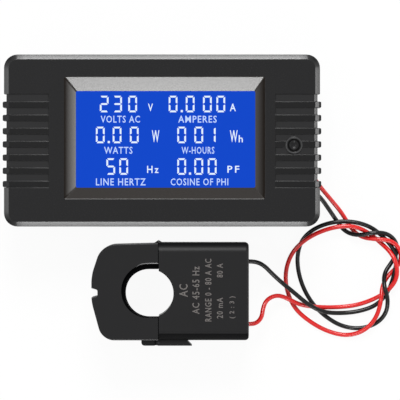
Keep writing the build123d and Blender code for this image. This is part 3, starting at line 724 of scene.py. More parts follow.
@dataclass
class Bezel:
    """Front shell: ribbed grips, sloped display frame, button ring and hidden bosses."""

    width: float = 89.6
    plain_width: float = 88.9
    height: float = 48.4
    seam_z: float = 13.4
    top_z: float = 24.4
    corner: float = 3.8
    edge: float = 1.35
    edge_reach: Point = (2.4, 1.6, 1.6)
    edge_tilt: float = 0.4
    groove_edge: float = 0.9
    tip: float = 0.62
    tip_round: float = 0.35
    wall: float = 1.8
    skin: float = 1.5
    under_z: float = 22.2
    grip_x: float = 31.9
    grip_y: Span = (-13.2, 13.05)
    groove_side: float = 0.7
    groove_face: float = 0.35
    rib_count: int = 7
    rib_pitch: float = 3.72
    rib_width: float = 1.75
    rib_top_y: float = 10.07
    window: Sides = (-24.24, 26.23, -13.25, 13.95)
    slope: Sides = (-27.5, 28.95, -16.45, 17.9)
    slope_z: float = 22.4
    slope_round: float = 0.3
    land: float = 1.5
    button: Span = (37.1, -1.33)
    ring_radius: float = 2.36
    hole_radius: float = 1.88
    ring_proud: float = 0.12
    flare_deep: float = 0.25
    eased: float = 0.12
    eased_angle: float = 22.0
    eased_from_z: float = 13.9
    bosses: tuple[Span, ...] = ((39.3, 19.3), (39.3, -19.3), (-39.3, 19.3), (-39.3, -19.3))
    boss_radius: float = 2.4
    pilot_radius: float = 1.15
    pilot_top_z: float = 20.0
    pillars: tuple[Span, ...] = ((-36.0, 15.0), (-36.0, -15.0), (36.0, 15.0), (39.0, -12.5))
    pillar_radius: float = 1.6
    pillar_low_z: float = 13.0

    def form(self, width: float, top: float, edge: float) -> bpy.types.Object:
        """Shape the outer form with its round corners and flat front edge.

        Args:
            width: Width in millimetres.
            top: Height of the face in millimetres.
            edge: Width of the front edge's flat in millimetres.

        Returns:
            The solid form.
        """
        half_x, half_y = width / 2, self.height / 2
        piece = block("form", (-half_x, -half_y, self.seam_z), (half_x, half_y, top))
        round_edges(piece, self.corner, 8, stands)
        round_edges(piece, edge, 1, lambda mid, way: mid.z > top - NEAR)
        return piece

    def both_ends(self, y: Span) -> list[bpy.types.Object]:
        """Box both ends of the bezel over a range of Y.

        Args:
            y: Lowest and highest Y in millimetres.

        Returns:
            The boxes.
        """
        reach = self.width / 2 + PAST
        return [
            block("end", (x0, y[0], self.seam_z - PAST), (x1, y[1], self.top_z + PAST))
            for x0, x1 in ((-reach, -self.grip_x), (self.grip_x, reach))
        ]

    def grooves(self) -> bpy.types.Object:
        """Shape what the grip takes off the plain form.

        Returns:
            The tool that cuts both grips down to their grooves.
        """
        ends = gather(self.both_ends(self.grip_y), "grooves")
        width, top = self.plain_width - 2 * self.groove_side, self.top_z - self.groove_face
        inner = self.form(width, top, self.groove_edge)
        work(ends, inner, Join.CUT)
        return ends

    def ribs(self) -> bpy.types.Object:
        """Shape the ribs of both grips, one slab with a lower tip copied along each end.

        Returns:
            All the ribs as one piece.
        """
        half = self.rib_width / 2
        start, reach, top = self.plain_width / 2 - self.edge, self.width / 2, self.top_z
        ledge, end = reach - self.tip, reach - NEAR
        y0, y1 = self.rib_top_y - half, self.rib_top_y + half
        masters = []
        for side in (-1, 1):
            slab = block("slab", (side * self.grip_x, y0, self.seam_z), (side * ledge, y1, top))
            trim(slab, (side * start, 0, top), (side, 0, 1))
            low, high = (side * (start - 1), y0, self.seam_z), (side * reach, y1, top - (ledge - start))
            tip = block("tip", low, high)
            round_edges(tip, self.tip_round, 3, lambda mid, way: abs(mid.x) > end and stands(mid, way))
            work(slab, tip, Join.ADD)
            masters.append(slab)
        slabs = list(masters)
        for step in range(1, self.rib_count):
            slabs += [copy_at(master, (0, -step * self.rib_pitch, 0)) for master in masters]
        return gather(slabs, "ribs")

    def flare(self) -> bpy.types.Object:
        """Shape the flared mouth of the button hole.

        Returns:
            The tool, as wide as the hole below and wider by its own height above.
        """
        low = self.top_z + self.ring_proud - self.flare_deep
        tool = disc("flare", self.button, (low, low + PAST), self.hole_radius)
        pick(tool, Kind.FACE, faces_up)
        wide = 1 + PAST / self.hole_radius
        x, y = self.button
        bpy.ops.transform.resize(value=(wide, wide, 1), center_override=(x * MM, y * MM, low * MM))
        leave()
        return tool

    def window_tool(self) -> bpy.types.Object:
        """Shape the display opening: a straight land under a four-sided slope.

        Returns:
            The tool that cuts the opening.
        """
        x0, x1, y0, y1 = self.window
        sx0, sx1, sy0, sy1 = self.slope
        tool = block("window", (x0, y0, self.slope_z - self.land), (x1, y1, self.slope_z))
        pick(tool, Kind.FACE, faces_up)
        middle = ((sx0 + sx1) / 2 * MM, (sy0 + sy1) / 2 * MM, self.top_z * MM)
        shift = (
            (sx0 + sx1 - x0 - x1) / 2 * MM,
            (sy0 + sy1 - y0 - y1) / 2 * MM,
            (self.top_z - self.slope_z) * MM,
        )
        bpy.ops.mesh.extrude_region_move(TRANSFORM_OT_translate={"value": shift})
        bpy.ops.transform.resize(
            value=((sx1 - sx0) / (x1 - x0), (sy1 - sy0) / (y1 - y0), 1), center_override=middle
        )
        bpy.ops.mesh.extrude_region_move(TRANSFORM_OT_translate={"value": (0, 0, PAST * MM)})
        leave()
        low, high = SLOPED
        round_edges(
            tool,
            self.slope_round,
            2,
            lambda mid, way: mid.z > self.slope_z + SLACK and low < abs(way.z) < high,
        )
        return tool

    def on_slope(self, mid: Vector, normal: Vector) -> bool:
        """Say whether a face belongs to the display frame's slope.

        Args:
            mid: The face's middle in millimetres.
            normal: The face's normal.

        Returns:
            Whether it does.
        """
        x0, x1, y0, y1 = self.slope
        reach = 2 * SLACK
        inside = x0 - reach < mid.x < x1 + reach and y0 - reach < mid.y < y1 + reach
        return inside and self.slope_z - SLACK < mid.z < self.top_z + NEAR and slopes(mid, normal)

    def on_edge(self, mid: Vector, normal: Vector) -> bool:
        """Say whether a face belongs to the flat round the front, which the left grip has worn off.

        Args:
            mid: The face's middle in millimetres.
            normal: The face's normal.

        Returns:
            Whether it does.
        """
        reach_x, reach_y, deep = self.edge_reach
        at_side = abs(mid.x) > self.width / 2 - reach_x
        at_end = abs(mid.y) > self.height / 2 - reach_y
        worn = mid.x < 0 and abs(mid.y) < self.grip_y[1] and at_side
        shown = (at_side or at_end) and not worn
        return shown and mid.z > self.top_z - deep and self.edge_tilt < normal.z < SLOPED[1]

    def on_grip(self, mid: Vector, normal: Vector) -> bool:
        """Say whether a face looks up inside either grip."""
        low, high = self.grip_y[0] - SLACK, self.grip_y[1] + SLACK
        return abs(mid.x) > self.grip_x + 1 and low < mid.y < high and normal.z > LEVEL

    def near_button(self, mid: Vector) -> bool:
        """Say whether a point lies on the button's ring.

        Args:
            mid: The point in millimetres.

        Returns:
            Whether it does.
        """
        x, y = self.button
        near = math.hypot(mid.x - x, mid.y - y) < self.ring_radius + SLACK / 2
        return near and mid.z > self.top_z - self.flare_deep

    def outside(self, mid: Vector) -> bool:
        """Say whether a point lies on the outer skin or the frame.

        Args:
            mid: The point in millimetres.

        Returns:
            Whether it does.
        """
        at_side = abs(mid.x) > self.plain_width / 2 - self.skin
        at_end = abs(mid.y) > self.height / 2 - self.skin
        return mid.z > self.eased_from_z and (mid.z > self.slope_z + 2 * SLACK or at_side or at_end)

    def finish(self, shell: bpy.types.Object) -> None:
        """Give the shell its finishes, region by region: painted light on the groove floors, painted shade
        on the rib tops and a painted highlight on the button ring.
        """
        floor_z = self.top_z - self.groove_face
        dress(shell, CASE)
        dress_faces(shell, TRIM, self.on_slope)
        dress_faces(shell, TRIM_SIDE, lambda mid, n: self.on_slope(mid, n) and abs(n.x) > abs(n.y))
        dress_faces(shell, EDGE, self.on_edge)
        # Groove floors get painted light: a lighter copy of the case colour
        dress_faces(shell, GROOVE_PAINTED_LIGHT, lambda mid, n: self.on_grip(mid, n) and abs(mid.z - floor_z) < 2 * NEAR)
        # Rib tops get painted shade: a darker copy of the case colour
        dress_faces(shell, RIB_PAINTED_SHADE, lambda mid, n: self.on_grip(mid, n) and mid.z > self.top_z - NEAR)
        # Button ring gets a painted highlight: a lighter copy of the case colour
        dress_faces(shell, RING_PAINTED_HIGHLIGHT, lambda mid, n: self.near_button(mid) and n.z > self.edge_tilt)

    def build(self) -> bpy.types.Object:
        """Build the front shell.

        Returns:
            The finished piece.
        """
        shell = self.form(self.plain_width, self.top_z, self.edge)
        work(shell, self.grooves(), Join.CUT)
        work(shell, self.ribs(), Join.ADD)
        inner_x, inner_y = self.plain_width / 2 - self.wall, self.height / 2 - self.wall
        low, high = (-inner_x, -inner_y, self.seam_z - PAST), (inner_x, inner_y, self.under_z)
        cavity = block("cavity", low, high)
        round_edges(cavity, self.corner - self.wall, 4, stands)
        work(shell, cavity, Join.CUT)
        ring_z = (self.under_z, self.top_z + self.ring_proud)
        work(shell, disc("ring", self.button, ring_z, self.ring_radius), Join.ADD)
        hole_z = (self.under_z - PAST, self.top_z + PAST)
        work(shell, disc("hole", self.button, hole_z, self.hole_radius), Join.CUT)
        work(shell, self.flare(), Join.CUT)
        work(shell, self.window_tool(), Join.CUT)
        ease(
            shell,
            self.eased,
            lambda mid: self.outside(mid) and not self.near_button(mid),
            angle=self.eased_angle,
        )
        shell.name = "bezel"
        self.finish(shell)
        settle_on(shell, ROOT, "front_shell")
        return shell

    def supports(self) -> bpy.types.Object:
        """Build the screw bosses and board pillars under the face.

        Returns:
            The finished piece.
        """
        top = self.under_z + BURY
        boss = disc("boss", self.bosses[0], (self.seam_z, top), self.boss_radius)
        pilot_z = (self.seam_z - PAST, self.pilot_top_z)
        work(boss, disc("pilot", self.bosses[0], pilot_z, self.pilot_radius), Join.CUT)
        pillar = disc("pillar", self.pillars[0], (self.pillar_low_z, top), self.pillar_radius)
        pieces = []
        for master, places in ((boss, self.bosses), (pillar, self.pillars)):
            first_x, first_y = places[0]
            pieces.append(master)
            pieces += [copy_at(master, (x - first_x, y - first_y, 0)) for x, y in places[1:]]
        supports = gather(pieces, "bezel_bosses")
        dress(supports, CASE)
        settle_on(supports, ROOT)
        return supports


@dataclass
class Button:
    """Round button with a dished top, a flange under the face and its stem."""

    centre: Span = (37.1, -1.33)
    radius: float = 1.43
    top_z: float = 24.15
    top_round: float = 0.22
    dish_from: float = 0.14
    dish: tuple[Span, ...] = ((0.3, 0.16), (0.3, 0.09), (0.25, 0.03))
    flange_radius: float = 2.5
    flange_z: Span = (21.05, 22.05)
    stem_radius: float = 1.6
    stem_z: float = 17.5

    def build(self) -> bpy.types.Object:
        """Build the button.

        Returns:
            The finished piece.
        """
        low, high = self.flange_z
        at_top = self.top_z - NEAR
        cap = disc("button", self.centre, (high - BURY, self.top_z), self.radius)
        round_edges(cap, self.top_round, 4, lambda mid, way: mid.z > at_top)
        pick(cap, Kind.FACE, lambda mid, normal: mid.z > at_top and normal.z > LEVEL)
        bpy.ops.mesh.inset(thickness=self.dish_from * MM)
        for thickness, drop in self.dish:
            bpy.ops.mesh.inset(thickness=thickness * MM, depth=-drop * MM)
        leave()
        work(cap, disc("flange", self.centre, self.flange_z, self.flange_radius), Join.ADD)
        work(cap, disc("stem", self.centre, (self.stem_z, low + BURY), self.stem_radius), Join.ADD)
        cap.name = "button"
        dress(cap, BUTTON)
        settle_on(cap, "button", "button_cap")
        return cap


@dataclass(frozen=True)
class Caption:
    """A lit word or unit: its text, left and right edge, base line, height and letter spacing."""

    text: str
    left: float
    right: float
    base: float
    tall: float
    finish: Finish = CAPTION
    spacing: float = 1.15
    weight: float = 0.012

    def write(self) -> bpy.types.Object:
        """Write the caption as a flat mesh, fitted between its edges.

        Returns:
            The flat letters.
        """
        bpy.ops.object.select_all(action="DESELECT")
        bpy.ops.object.text_add()
        piece = bpy.context.object
        piece.data.body = self.text
        piece.data.space_character = self.spacing
        piece.data.resolution_u = 2
        piece.data.offset = self.weight
        bpy.ops.object.convert(target="MESH")
        piece = bpy.context.object
        xs = [vertex.co.x for vertex in piece.data.vertices]
        ys = [vertex.co.y for vertex in piece.data.vertices]
        wide = (self.right - self.left) * MM / (max(xs) - min(xs))
        tall = self.tall * MM / (max(ys) - min(ys))
        piece.scale = (wide, tall, 1.0)
        piece.location = (self.left * MM - min(xs) * wide, self.base * MM - min(ys) * tall, 0)
        settle(piece)
        return piece


@dataclass(frozen=True)
class Reading:
    """A lit number: its figures with their left edges, base line and points."""

    figures: tuple[tuple[str, float], ...]
    base: float
    points: tuple[float, ...] = ()


@dataclass
class Display:
    """Blue display cell with seven-segment numbers and captions lit on it."""

    centre: Span = (1.0, 0.4)
    pane: Span = (56.0, 29.0)
    back_pane: Span = (56.0, 34.0)
    back_z: Span = (19.9, 21.0)
    pane_z: Span = (21.0, 22.1)
    pane_round: float = 0.08
    figure_width: float = 2.46
    figure_height: float = 4.64
    stroke: float = 0.5
    gap: float = 0.11
    upright_cut: Span = (0.3, 0.1)
    across_cut: Span = (0.5, 0.12)
    point_size: Span = (0.6, 0.62)
    point_rise: float = 0.32
    lift: float = 0.03
    lit: dict[str, str] = field(
        default_factory=lambda: {
            "0": "abcdef",
            "1": "bc",
            "2": "abged",
            "3": "abgcd",
            "5": "afgcd",
        }
    )
    readings: tuple[Reading, ...] = (
        Reading((("2", -17.5), ("3", -13.74), ("0", -9.5)), 7.96),
        Reading((("0", -18.61), ("0", -13.88), ("0", -9.04)), -0.74, (-14.98,)),
        Reading((("5", -15.66), ("0", -12.02)), -9.62),
        Reading((("0", 1.88), ("0", 6.69), ("0", 11.53), ("0", 15.31)), 7.96, (5.57,)),
        Reading((("0", 4.30), ("0", 9.11), ("1", 12.63)), -0.74),
        Reading((("0", 4.30), ("0", 9.11), ("0", 12.89)), -9.62, (7.88,)),
    )
    captions: tuple[Caption, ...] = (
        Caption("V", -3.95, -2.55, 8.26, 2.14, LIT),
        Caption("W", -2.85, -0.76, -0.49, 3.4, LIT),
        Caption("Hz", -4.2, -0.98, -9.13, 2.03, LIT, 1.35),
        Caption("A", 19.08, 20.78, 8.26, 2.14, LIT),
        Caption("W", 19.1, 21.28, -0.49, 3.4, LIT),
        Caption("h", 21.58, 22.75, -0.49, 2.0, LIT),
        Caption("PF", 18.4, 21.75, -9.05, 1.95, LIT, 1.35),
        Caption("VOLTS AC", -17.26, -6.2, 5.03, 1.98),
        Caption("WATTS", -16.3, -8.3, -3.73, 1.98),
        Caption("LINE HERTZ", -18.6, -4.6, -12.62, 1.98),
        Caption("AMPERES", 4.55, 15.42, 5.03, 1.98),
        Caption("W-HOURS", 5.51, 14.74, -3.73, 1.98),
        Caption("COSINE OF PHI", 2.42, 18.65, -12.62, 1.98),
    )

    def bar(self, long: float, short: float, wide: float) -> bpy.types.Object:
        """Shape a bar with its inner side shorter, lying along X with the long side up.

        Args:
            long: Length of the outer side in millimetres.
            short: Length of the inner side in millimetres.
            wide: Width in millimetres.

        Returns:
            The flat bar.
        """
        bpy.ops.object.select_all(action="DESELECT")
        bpy.ops.mesh.primitive_plane_add(size=1.0)
        piece = bpy.context.object
        piece.scale = (long * MM, wide * MM, 1.0)
        settle(piece)
        pick(piece, Kind.EDGE, lambda mid, way: mid.y < -wide / 4 and abs(way.x) > STRAIGHT)
        centre = (0, -wide / 2 * MM, 0)
        bpy.ops.transform.resize(value=(short / long, 1, 1), center_override=centre)
        leave()
        return piece

    def upright(self) -> bpy.types.Object:
        """Shape the upper left upright, its long side to the left.

        Returns:
            The flat segment.
        """
        half = self.figure_height / 2
        outer_cut, inner_cut = self.upright_cut
        outer = half - outer_cut - self.gap
        inner = half - self.stroke - inner_cut - self.gap - self.stroke / 2
        piece = self.bar(outer, inner, self.stroke)
        piece.rotation_euler = (0, 0, math.radians(90))
        settle(piece)
        piece.location = (self.stroke / 2 * MM, (half + self.gap + outer / 2) * MM, 0)
        settle(piece)
        return piece

    def across(self) -> bpy.types.Object:
        """Shape the top bar, its long side up.

        Returns:
            The flat segment.
        """
        outer_cut, inner_cut = self.across_cut
        outer = self.figure_width - outer_cut
        piece = self.bar(outer, self.figure_width - 2 * self.stroke - inner_cut, self.stroke)
        piece.location = (self.figure_width / 2 * MM, (self.figure_height - self.stroke / 2) * MM, 0)
        settle(piece)
        return piece

    def middle(self) -> bpy.types.Object:
        """Shape the middle bar with both ends pointed.

        Returns:
            The flat segment.
        """
        half = self.stroke / 2
        long = self.figure_width - 2 * half
        upper = self.bar(long, long - 2 * half, half)
        upper.scale = (1, -1, 1)
        upper.location = (0, half / 2 * MM, 0)
        settle(upper)
        lower = copy_at(upper, (0, 0, 0), (1, -1))
        piece = gather([upper, lower], "middle")
        piece.location = (self.figure_width / 2 * MM, self.figure_height / 2 * MM, 0)
        settle(piece)
        return piece

    def figures(self) -> bpy.types.Object:
        """Lay out every lit segment and point of the readings.

        Returns:
            All of them as one flat piece.
        """
        upright, across, middle = self.upright(), self.across(), self.middle()
        side, height = self.point_size
        point = self.bar(side, side, height)
        wide, tall = self.figure_width, self.figure_height
        plan = {
            "a": (across, (0, 0), (1, 1)),
            "d": (across, (0, tall), (1, -1)),
            "f": (upright, (0, 0), (1, 1)),
            "b": (upright, (wide, 0), (-1, 1)),
            "e": (upright, (0, tall), (1, -1)),
            "c": (upright, (wide, tall), (-1, -1)),
            "g": (middle, (0, 0), (1, 1)),
        }
        pieces = []
        for reading in self.readings:
            for figure, left in reading.figures:
                for letter in self.lit[figure]:
                    master, (dx, dy), flip = plan[letter]
                    pieces.append(copy_at(master, (left + dx, reading.base + dy, 0), flip))
            for left in reading.points:
                pieces.append(copy_at(point, (left, reading.base + self.point_rise, 0)))
        for master in (upright, across, middle, point):
            bpy.data.objects.remove(master, do_unlink=True)
        return gather(pieces, "lit_figures")

    def light(self, piece: bpy.types.Object, finish: Finish) -> bpy.types.Object:
        """Set a flat piece on the glass and light it.

        Args:
            piece: The flat piece, facing up.
            finish: Its finish.

        Returns:
            The finished piece.
        """
        raise_up(piece, self.pane_z[1], self.lift)
        dress(piece, finish)
        settle_on(piece, ROOT)
        return piece

    def build(self) -> list[bpy.types.Object]:
        """Build the cell with everything lit on it.

        Returns:
            The finished pieces.
        """
        x, y = self.centre
        layers = []
        for (wide, tall), (low, high) in ((self.back_pane, self.back_z), (self.pane, self.pane_z)):
            layer = block("cell", (x - wide / 2, y - tall / 2, low), (x + wide / 2, y + tall / 2, high))
            round_edges(layer, self.pane_round, 2, lambda mid, way: True)
            layers.append(layer)
        cell = gather(layers, "display_cell")
        dress(cell, PANE)
        face_z = self.pane_z[1] - 2 * NEAR
        dress_faces(cell, DISPLAY, lambda mid, normal: normal.z > STRAIGHT and mid.z > face_z)
        settle_on(cell, ROOT, "lcd_glass")
        pieces = [cell, self.light(self.figures(), LIT)]
        for finish, name in ((LIT, "lit_units"), (CAPTION, "lit_captions")):
            rows = [caption.write() for caption in self.captions if caption.finish is finish]
            pieces.append(self.light(gather(rows, name), finish))
        return pieces


@dataclass
class SensorSizes:
    """Sizes that both halves of the sensor share, in millimetres."""

    thick: float = 22.0
    parting_x: float = -1.0
    gap: float = 0.05
    low_y: float = -56.25
    high_y: float = -28.65
    aperture: Span = (-3.62, -43.05)
    aperture_radius: float = 6.85
    legs: tuple[Span, ...] = ((-54.15, -51.15), (-34.95, -31.95))
    core_z: Span = (3.9, 18.1)
    hinge_y: float = -57.04
    strap_y: Span = (-57.83, -56.25)
    strap_z: Span = (3.0, 19.0)
    knuckle_z: Span = (7.0, 15.0)
    knuckle_radius: float = 0.78
    pin_radius: float = 0.36
    hinge_clear: float = 1.12
    catch_z: Span = (6.0, 16.0)
    catch_root: float = 0.5
    snap_y: float = -30.0

    def bore(self) -> bpy.types.Object:
        """Shape the round aperture."""
        return disc("bore", self.aperture, (-PAST, self.thick + PAST), self.aperture_radius)

    def room(self, z: Span) -> bpy.types.Object:
        """Shape the room round the pin over a range of Z."""
        x0, x1 = self.parting_x - self.hinge_clear, self.parting_x + self.hinge_clear
        return block("room", (x0, self.strap_y[0] - PAST, z[0]), (x1, self.strap_y[1], z[1]))

    def knuckle(self, z: Span) -> bpy.types.Object:
        """Shape a knuckle about the pin over a range of Z."""
        return disc("knuckle", (self.parting_x, self.hinge_y), z, self.knuckle_radius)

    def pin_bore(self, radius: float) -> bpy.types.Object:
        """Shape the pin's bore."""
        return disc("pin_bore", (self.parting_x, self.hinge_y), (0, self.thick), radius)

    def on_flats(self, mid: Vector) -> bool:
        """Say whether a point lies on either flat side, away from the strap."""
        flat = mid.z < 2 * NEAR or mid.z > self.thick - 2 * NEAR
        return flat and mid.y > self.low_y - SLACK


@dataclass
class FixedHalf:
    """Fixed half of the sensor: rounded shell, leg pockets, winding room, strap and catch."""

    sizes: SensorSizes = field(default_factory=SensorSizes)
    end_x: float = 24.45
    edge: float = 2.8
    end_edge: float = 1.0
    eased: float = 0.16
    under_tilt: Span = (-0.25, 0.05)
    wall: float = 1.7
    room_x: float = 8.2
    pocket_x: float = 9.0
    strap_x: Span = (6.9, 8.4)
    strap_root: float = 0.4
    catch_size: Span = (0.8, 0.5)
    slot_size: Span = (3.5, 0.7)
    slot_z: Span = (4.6, 17.4)
    print_rows: tuple[Caption, ...] = (
        Caption("AC", -44.0, -40.43, -7.25, 2.4),
        Caption("AC 45-65 Hz", -48.82, -35.42, -10.55, 2.05),
        Caption("RANGE 0 - 80 A AC", -50.9, -33.28, -13.95, 1.85),
        Caption("20 mA", -50.05, -44.2, -17.16, 1.75),
        Caption("80 A", -38.54, -34.6, -17.16, 1.75),
        Caption("( 2 : 3 )", -50.05, -43.83, -20.74, 1.75),
    )
    ink_mm: float = 0.012

    def strap(self) -> bpy.types.Object:
        """Shape the strap under the shell, with its pointed tip and two knuckles.

        Returns:
            The strap.
        """
        sizes = self.sizes
        low, high = sizes.strap_y
        tip_x0, tip_x1 = self.strap_x
        z0, z1 = sizes.strap_z
        strap = block("strap", (sizes.parting_x, low, z0), (tip_x1, high + self.strap_root, z1))
        trim(strap, (tip_x1, low, 0), (high - low, tip_x1 - tip_x0, 0))
        work(strap, sizes.knuckle(sizes.strap_z), Join.ADD)
        work(strap, sizes.room((sizes.knuckle_z[0] - sizes.gap, sizes.knuckle_z[1] + sizes.gap)), Join.CUT)
        work(strap, sizes.pin_bore(sizes.pin_radius), Join.CUT)
        start = (sizes.parting_x - 2 * PAST, high, -PAST)
        end = (sizes.parting_x + sizes.gap, high + 2 * PAST, sizes.thick + PAST)
        work(strap, block("beyond", start, end), Join.CUT)
        return strap

    def catch(self) -> bpy.types.Object:
        """Shape the catch at the top of the parting line.

        Returns:
            The catch.
        """
        sizes = self.sizes
        x0, top = sizes.parting_x + sizes.gap, sizes.high_y
        z0, z1 = sizes.catch_z
        wide, tall = self.catch_size
        catch = block("catch", (x0, top - sizes.catch_root, z0), (x0 + wide, top + tall, z1))
        trim(catch, (x0 + wide, top, 0), (tall, wide, 0))
        return catch

    def on_lower_edge(self, mid: Vector, normal: Vector) -> bool:
        """Say whether a face belongs to the round along the lower edge, which carries painted shade."""
        least, rise = self.under_tilt
        return normal.y < least and normal.z > rise

    def build(self) -> bpy.types.Object:
        """Build the fixed half's shell.

        Returns:
            The finished piece.
        """
        sizes = self.sizes
        x0 = sizes.parting_x + sizes.gap
        shell = block("shell", (x0, sizes.low_y, 0), (self.end_x, sizes.high_y, sizes.thick))
        round_edges(shell, self.edge, 10, lambda mid, way: abs(way.x) > STRAIGHT)
        round_edges(shell, self.end_edge, 4, lambda mid, way: mid.x > self.end_x - NEAR)
        work(shell, self.strap(), Join.ADD)
        work(shell, self.catch(), Join.ADD)
        work(shell, sizes.bore(), Join.CUT)
        z0, z1 = sizes.core_z
        for y0, y1 in sizes.legs:
            work(shell, block("pocket", (x0 - PAST, y0, z0), (self.pocket_x, y1, z1)), Join.CUT)
        low = (self.room_x, sizes.low_y + self.wall, self.wall)
        high = (self.end_x + PAST, sizes.high_y - self.wall, sizes.thick - self.wall)
        work(shell, block("room", low, high), Join.CUT)
        deep, half = self.slot_size
        z0, z1 = self.slot_z
        slot = block("slot", (x0 - PAST, sizes.snap_y - half, z0), (x0 + deep, sizes.snap_y + half, z1))
        work(shell, slot, Join.CUT)
        ease(shell, self.eased, lambda mid: sizes.on_flats(mid) and mid.x < self.room_x)
        shell.name = "sensor_shell"
        dress(shell, SENSOR)
        # The round along the lower edge gets painted shade
        dress_faces(shell, UNDER_PAINTED_SHADE, self.on_lower_edge)
        settle_on(shell, ROOT, "sensor_body")
        return shell

    def ink(self) -> bpy.types.Object:
        """Print the plain marks, read from the front edge of the sensor.

        Returns:
            The finished print.
        """
        words = gather([row.write() for row in self.print_rows], "sensor_print")
        words.rotation_euler = (0, 0, math.radians(90))
        settle(words)
        raise_up(words, self.sizes.thick, self.ink_mm)
        dress(words, INK)
        settle_on(words, ROOT)
        return words


@dataclass
class Jaw:
    """Moving half of the sensor: bowed shell with a straight throat, notch, strap and tongue."""

    sizes: SensorSizes = field(default_factory=SensorSizes)
    left_x: float = -19.9
    top_y: float = -28.85
    top_left: Span = (-17.0, -29.25)
    bow: Span = (-38.0, -45.3)
    low_left: Span = (-16.9, -56.25)
    corner_reach: Sides = (3.9, 1.87, 1.61, 3.36)
    corner_steps: tuple[int, ...] = (10, 4, 4, 9)
    eased: float = 0.25
    rim: Span = (-3.9, -42.35)
    rim_radius: float = 7.6
    rim_depth: float = 1.6
    rim_eased: float = 0.3
    rim_reach: Span = (3.0, 0.5)
    bore_reach: float = 1.6
    notch_x: float = -18.2
    notch_out: float = 1.1
    notch_round: float = 0.35
    notch_y: Span = (-43.8, -42.05)
    mouth_y: Span = (-44.5, -41.25)
    core_x: Span = (-16.3, -12.3)
    core_inset: float = 0.1
    strap_x: float = -5.85
    strap_round: float = 0.9
    root_x: Span = (-4.85, -2.05)
    root_y: Span = (-56.45, -55.75)
    catch_size: Span = (1.2, 0.8)
    tongue_x: Span = (-2.05, 1.95)
    tongue_half: float = 0.35
    tongue_z: Span = (5.0, 17.0)

    def outline(self) -> bpy.types.Object:
        """Shape the bowed outer form.

        Returns:
            The solid form.
        """
        sizes = self.sizes
        x1 = sizes.parting_x - sizes.gap
        form = block("jaw", (self.left_x, sizes.low_y, 0), (x1, self.top_y, sizes.thick))
        left, top = self.top_left
        trim(form, (left, top, 0), (top - self.top_y, x1 - left, 0))
        trim(form, (left, top, 0), (self.bow[0] - top, left - self.left_x, 0))
        low_x, low_y = self.low_left
        trim(form, (low_x, low_y, 0), (low_y - self.bow[1], self.left_x - low_x, 0))
        corners = (self.top_left, (self.left_x, self.bow[0]), (self.left_x, self.bow[1]), self.low_left)
        for (x, y), reach, steps in zip(corners, self.corner_reach, self.corner_steps):
            round_edges(
                form,
                reach,
                steps,
                lambda mid, way, x=x, y=y: stands(mid, way) and math.hypot(mid.x - x, mid.y - y) < 2 * SLACK,
            )
        return form

    def notch(self) -> bpy.types.Object:
        """Shape the notch in the bowed side, wider at its mouth.

        Returns:
            The tool that cuts the notch.
        """
        low, high = self.notch_y
        mouth_low, mouth_high = self.mouth_y
        outer_x = self.left_x - self.notch_out
        tool = block("notch", (outer_x, low, -PAST), (self.notch_x, high, self.sizes.thick + PAST))
        pick(tool, Kind.FACE, lambda mid, normal: normal.x < -STRAIGHT)
        centre = (outer_x * MM, (low + high) / 2 * MM, 0)
        wider = (mouth_high - mouth_low) / (high - low)
        bpy.ops.transform.resize(value=(1, wider, 1), center_override=centre)
        bpy.ops.transform.translate(value=(0, (mouth_low + mouth_high - low - high) / 2 * MM, 0))
        leave()
        inner_x = self.notch_x - SLACK
        round_edges(tool, self.notch_round, 3, lambda mid, way: stands(mid, way) and mid.x > inner_x)
        return tool

    def strap(self) -> bpy.types.Object:
        """Shape the jaw's strap with its knuckle.

        Returns:
            The strap.
        """
        sizes = self.sizes
        low, high = sizes.strap_y
        z0, z1 = sizes.strap_z
        strap = block("strap", (self.strap_x, low, z0), (sizes.parting_x, high, z1))
        at_x, at_y = self.strap_x + NEAR, low + NEAR
        round_edges(
            strap, self.strap_round, 5, lambda mid, way: stands(mid, way) and mid.x < at_x and mid.y < at_y
        )
        root = block("root", (self.root_x[0], self.root_y[0], z0), (self.root_x[1], self.root_y[1], z1))
        work(strap, root, Join.ADD)
        work(strap, sizes.knuckle(sizes.knuckle_z), Join.ADD)
        for z in ((z0 - PAST, sizes.knuckle_z[0]), (sizes.knuckle_z[1], z1 + PAST)):
            work(strap, sizes.room(z), Join.CUT)
        work(strap, sizes.pin_bore(sizes.pin_radius + sizes.gap), Join.CUT)
        return strap

    def catch(self) -> bpy.types.Object:
        """Shape the nose of the catch at the top of the parting line.

        Returns:
            The nose.
        """
        sizes = self.sizes
        x1 = sizes.parting_x - sizes.gap
        z0, z1 = sizes.catch_z
        wide, tall = self.catch_size
        top = self.top_y + tall
        catch = block("catch", (x1 - wide, self.top_y - sizes.catch_root, z0), (x1, top, z1))
        trim(catch, (x1, top, 0), (-tall, wide, 0))
        return catch

    def core_room(self) -> bpy.types.Object:
        """Shape the pocket of the jaw's core.

        Returns:
            The tool that cuts the pocket.
        """
        sizes = self.sizes
        x0, x1 = self.core_x
        z0, z1 = sizes.core_z
        low, high = sizes.legs[0][0] + self.core_inset, sizes.legs[1][1] - self.core_inset
        back = block("core_room", (x0, low, z0), (x1, high, z1))
        for y0, y1 in sizes.legs:
            work(back, block("leg", (x0, y0, z0), (sizes.parting_x + PAST, y1, z1)), Join.ADD)
        return back

    def at_bore(self, mid: Vector) -> bool:
        """Say whether a point lies on the edge of the aperture."""
        x, y = self.sizes.aperture
        return math.hypot(mid.x - x, mid.y - y) < self.sizes.aperture_radius + self.bore_reach

    def by_rim(self, mid: Vector) -> bool:
        """Say whether a point lies near the straight top edge of the rim.

        Args:
            mid: The point in millimetres.

        Returns:
            Whether it does.
        """
        x, y = self.rim
        along, off = self.rim_reach
        near = abs(mid.y - y - self.rim_radius) < off and mid.x > x - along
        return near and mid.z > self.sizes.thick - off

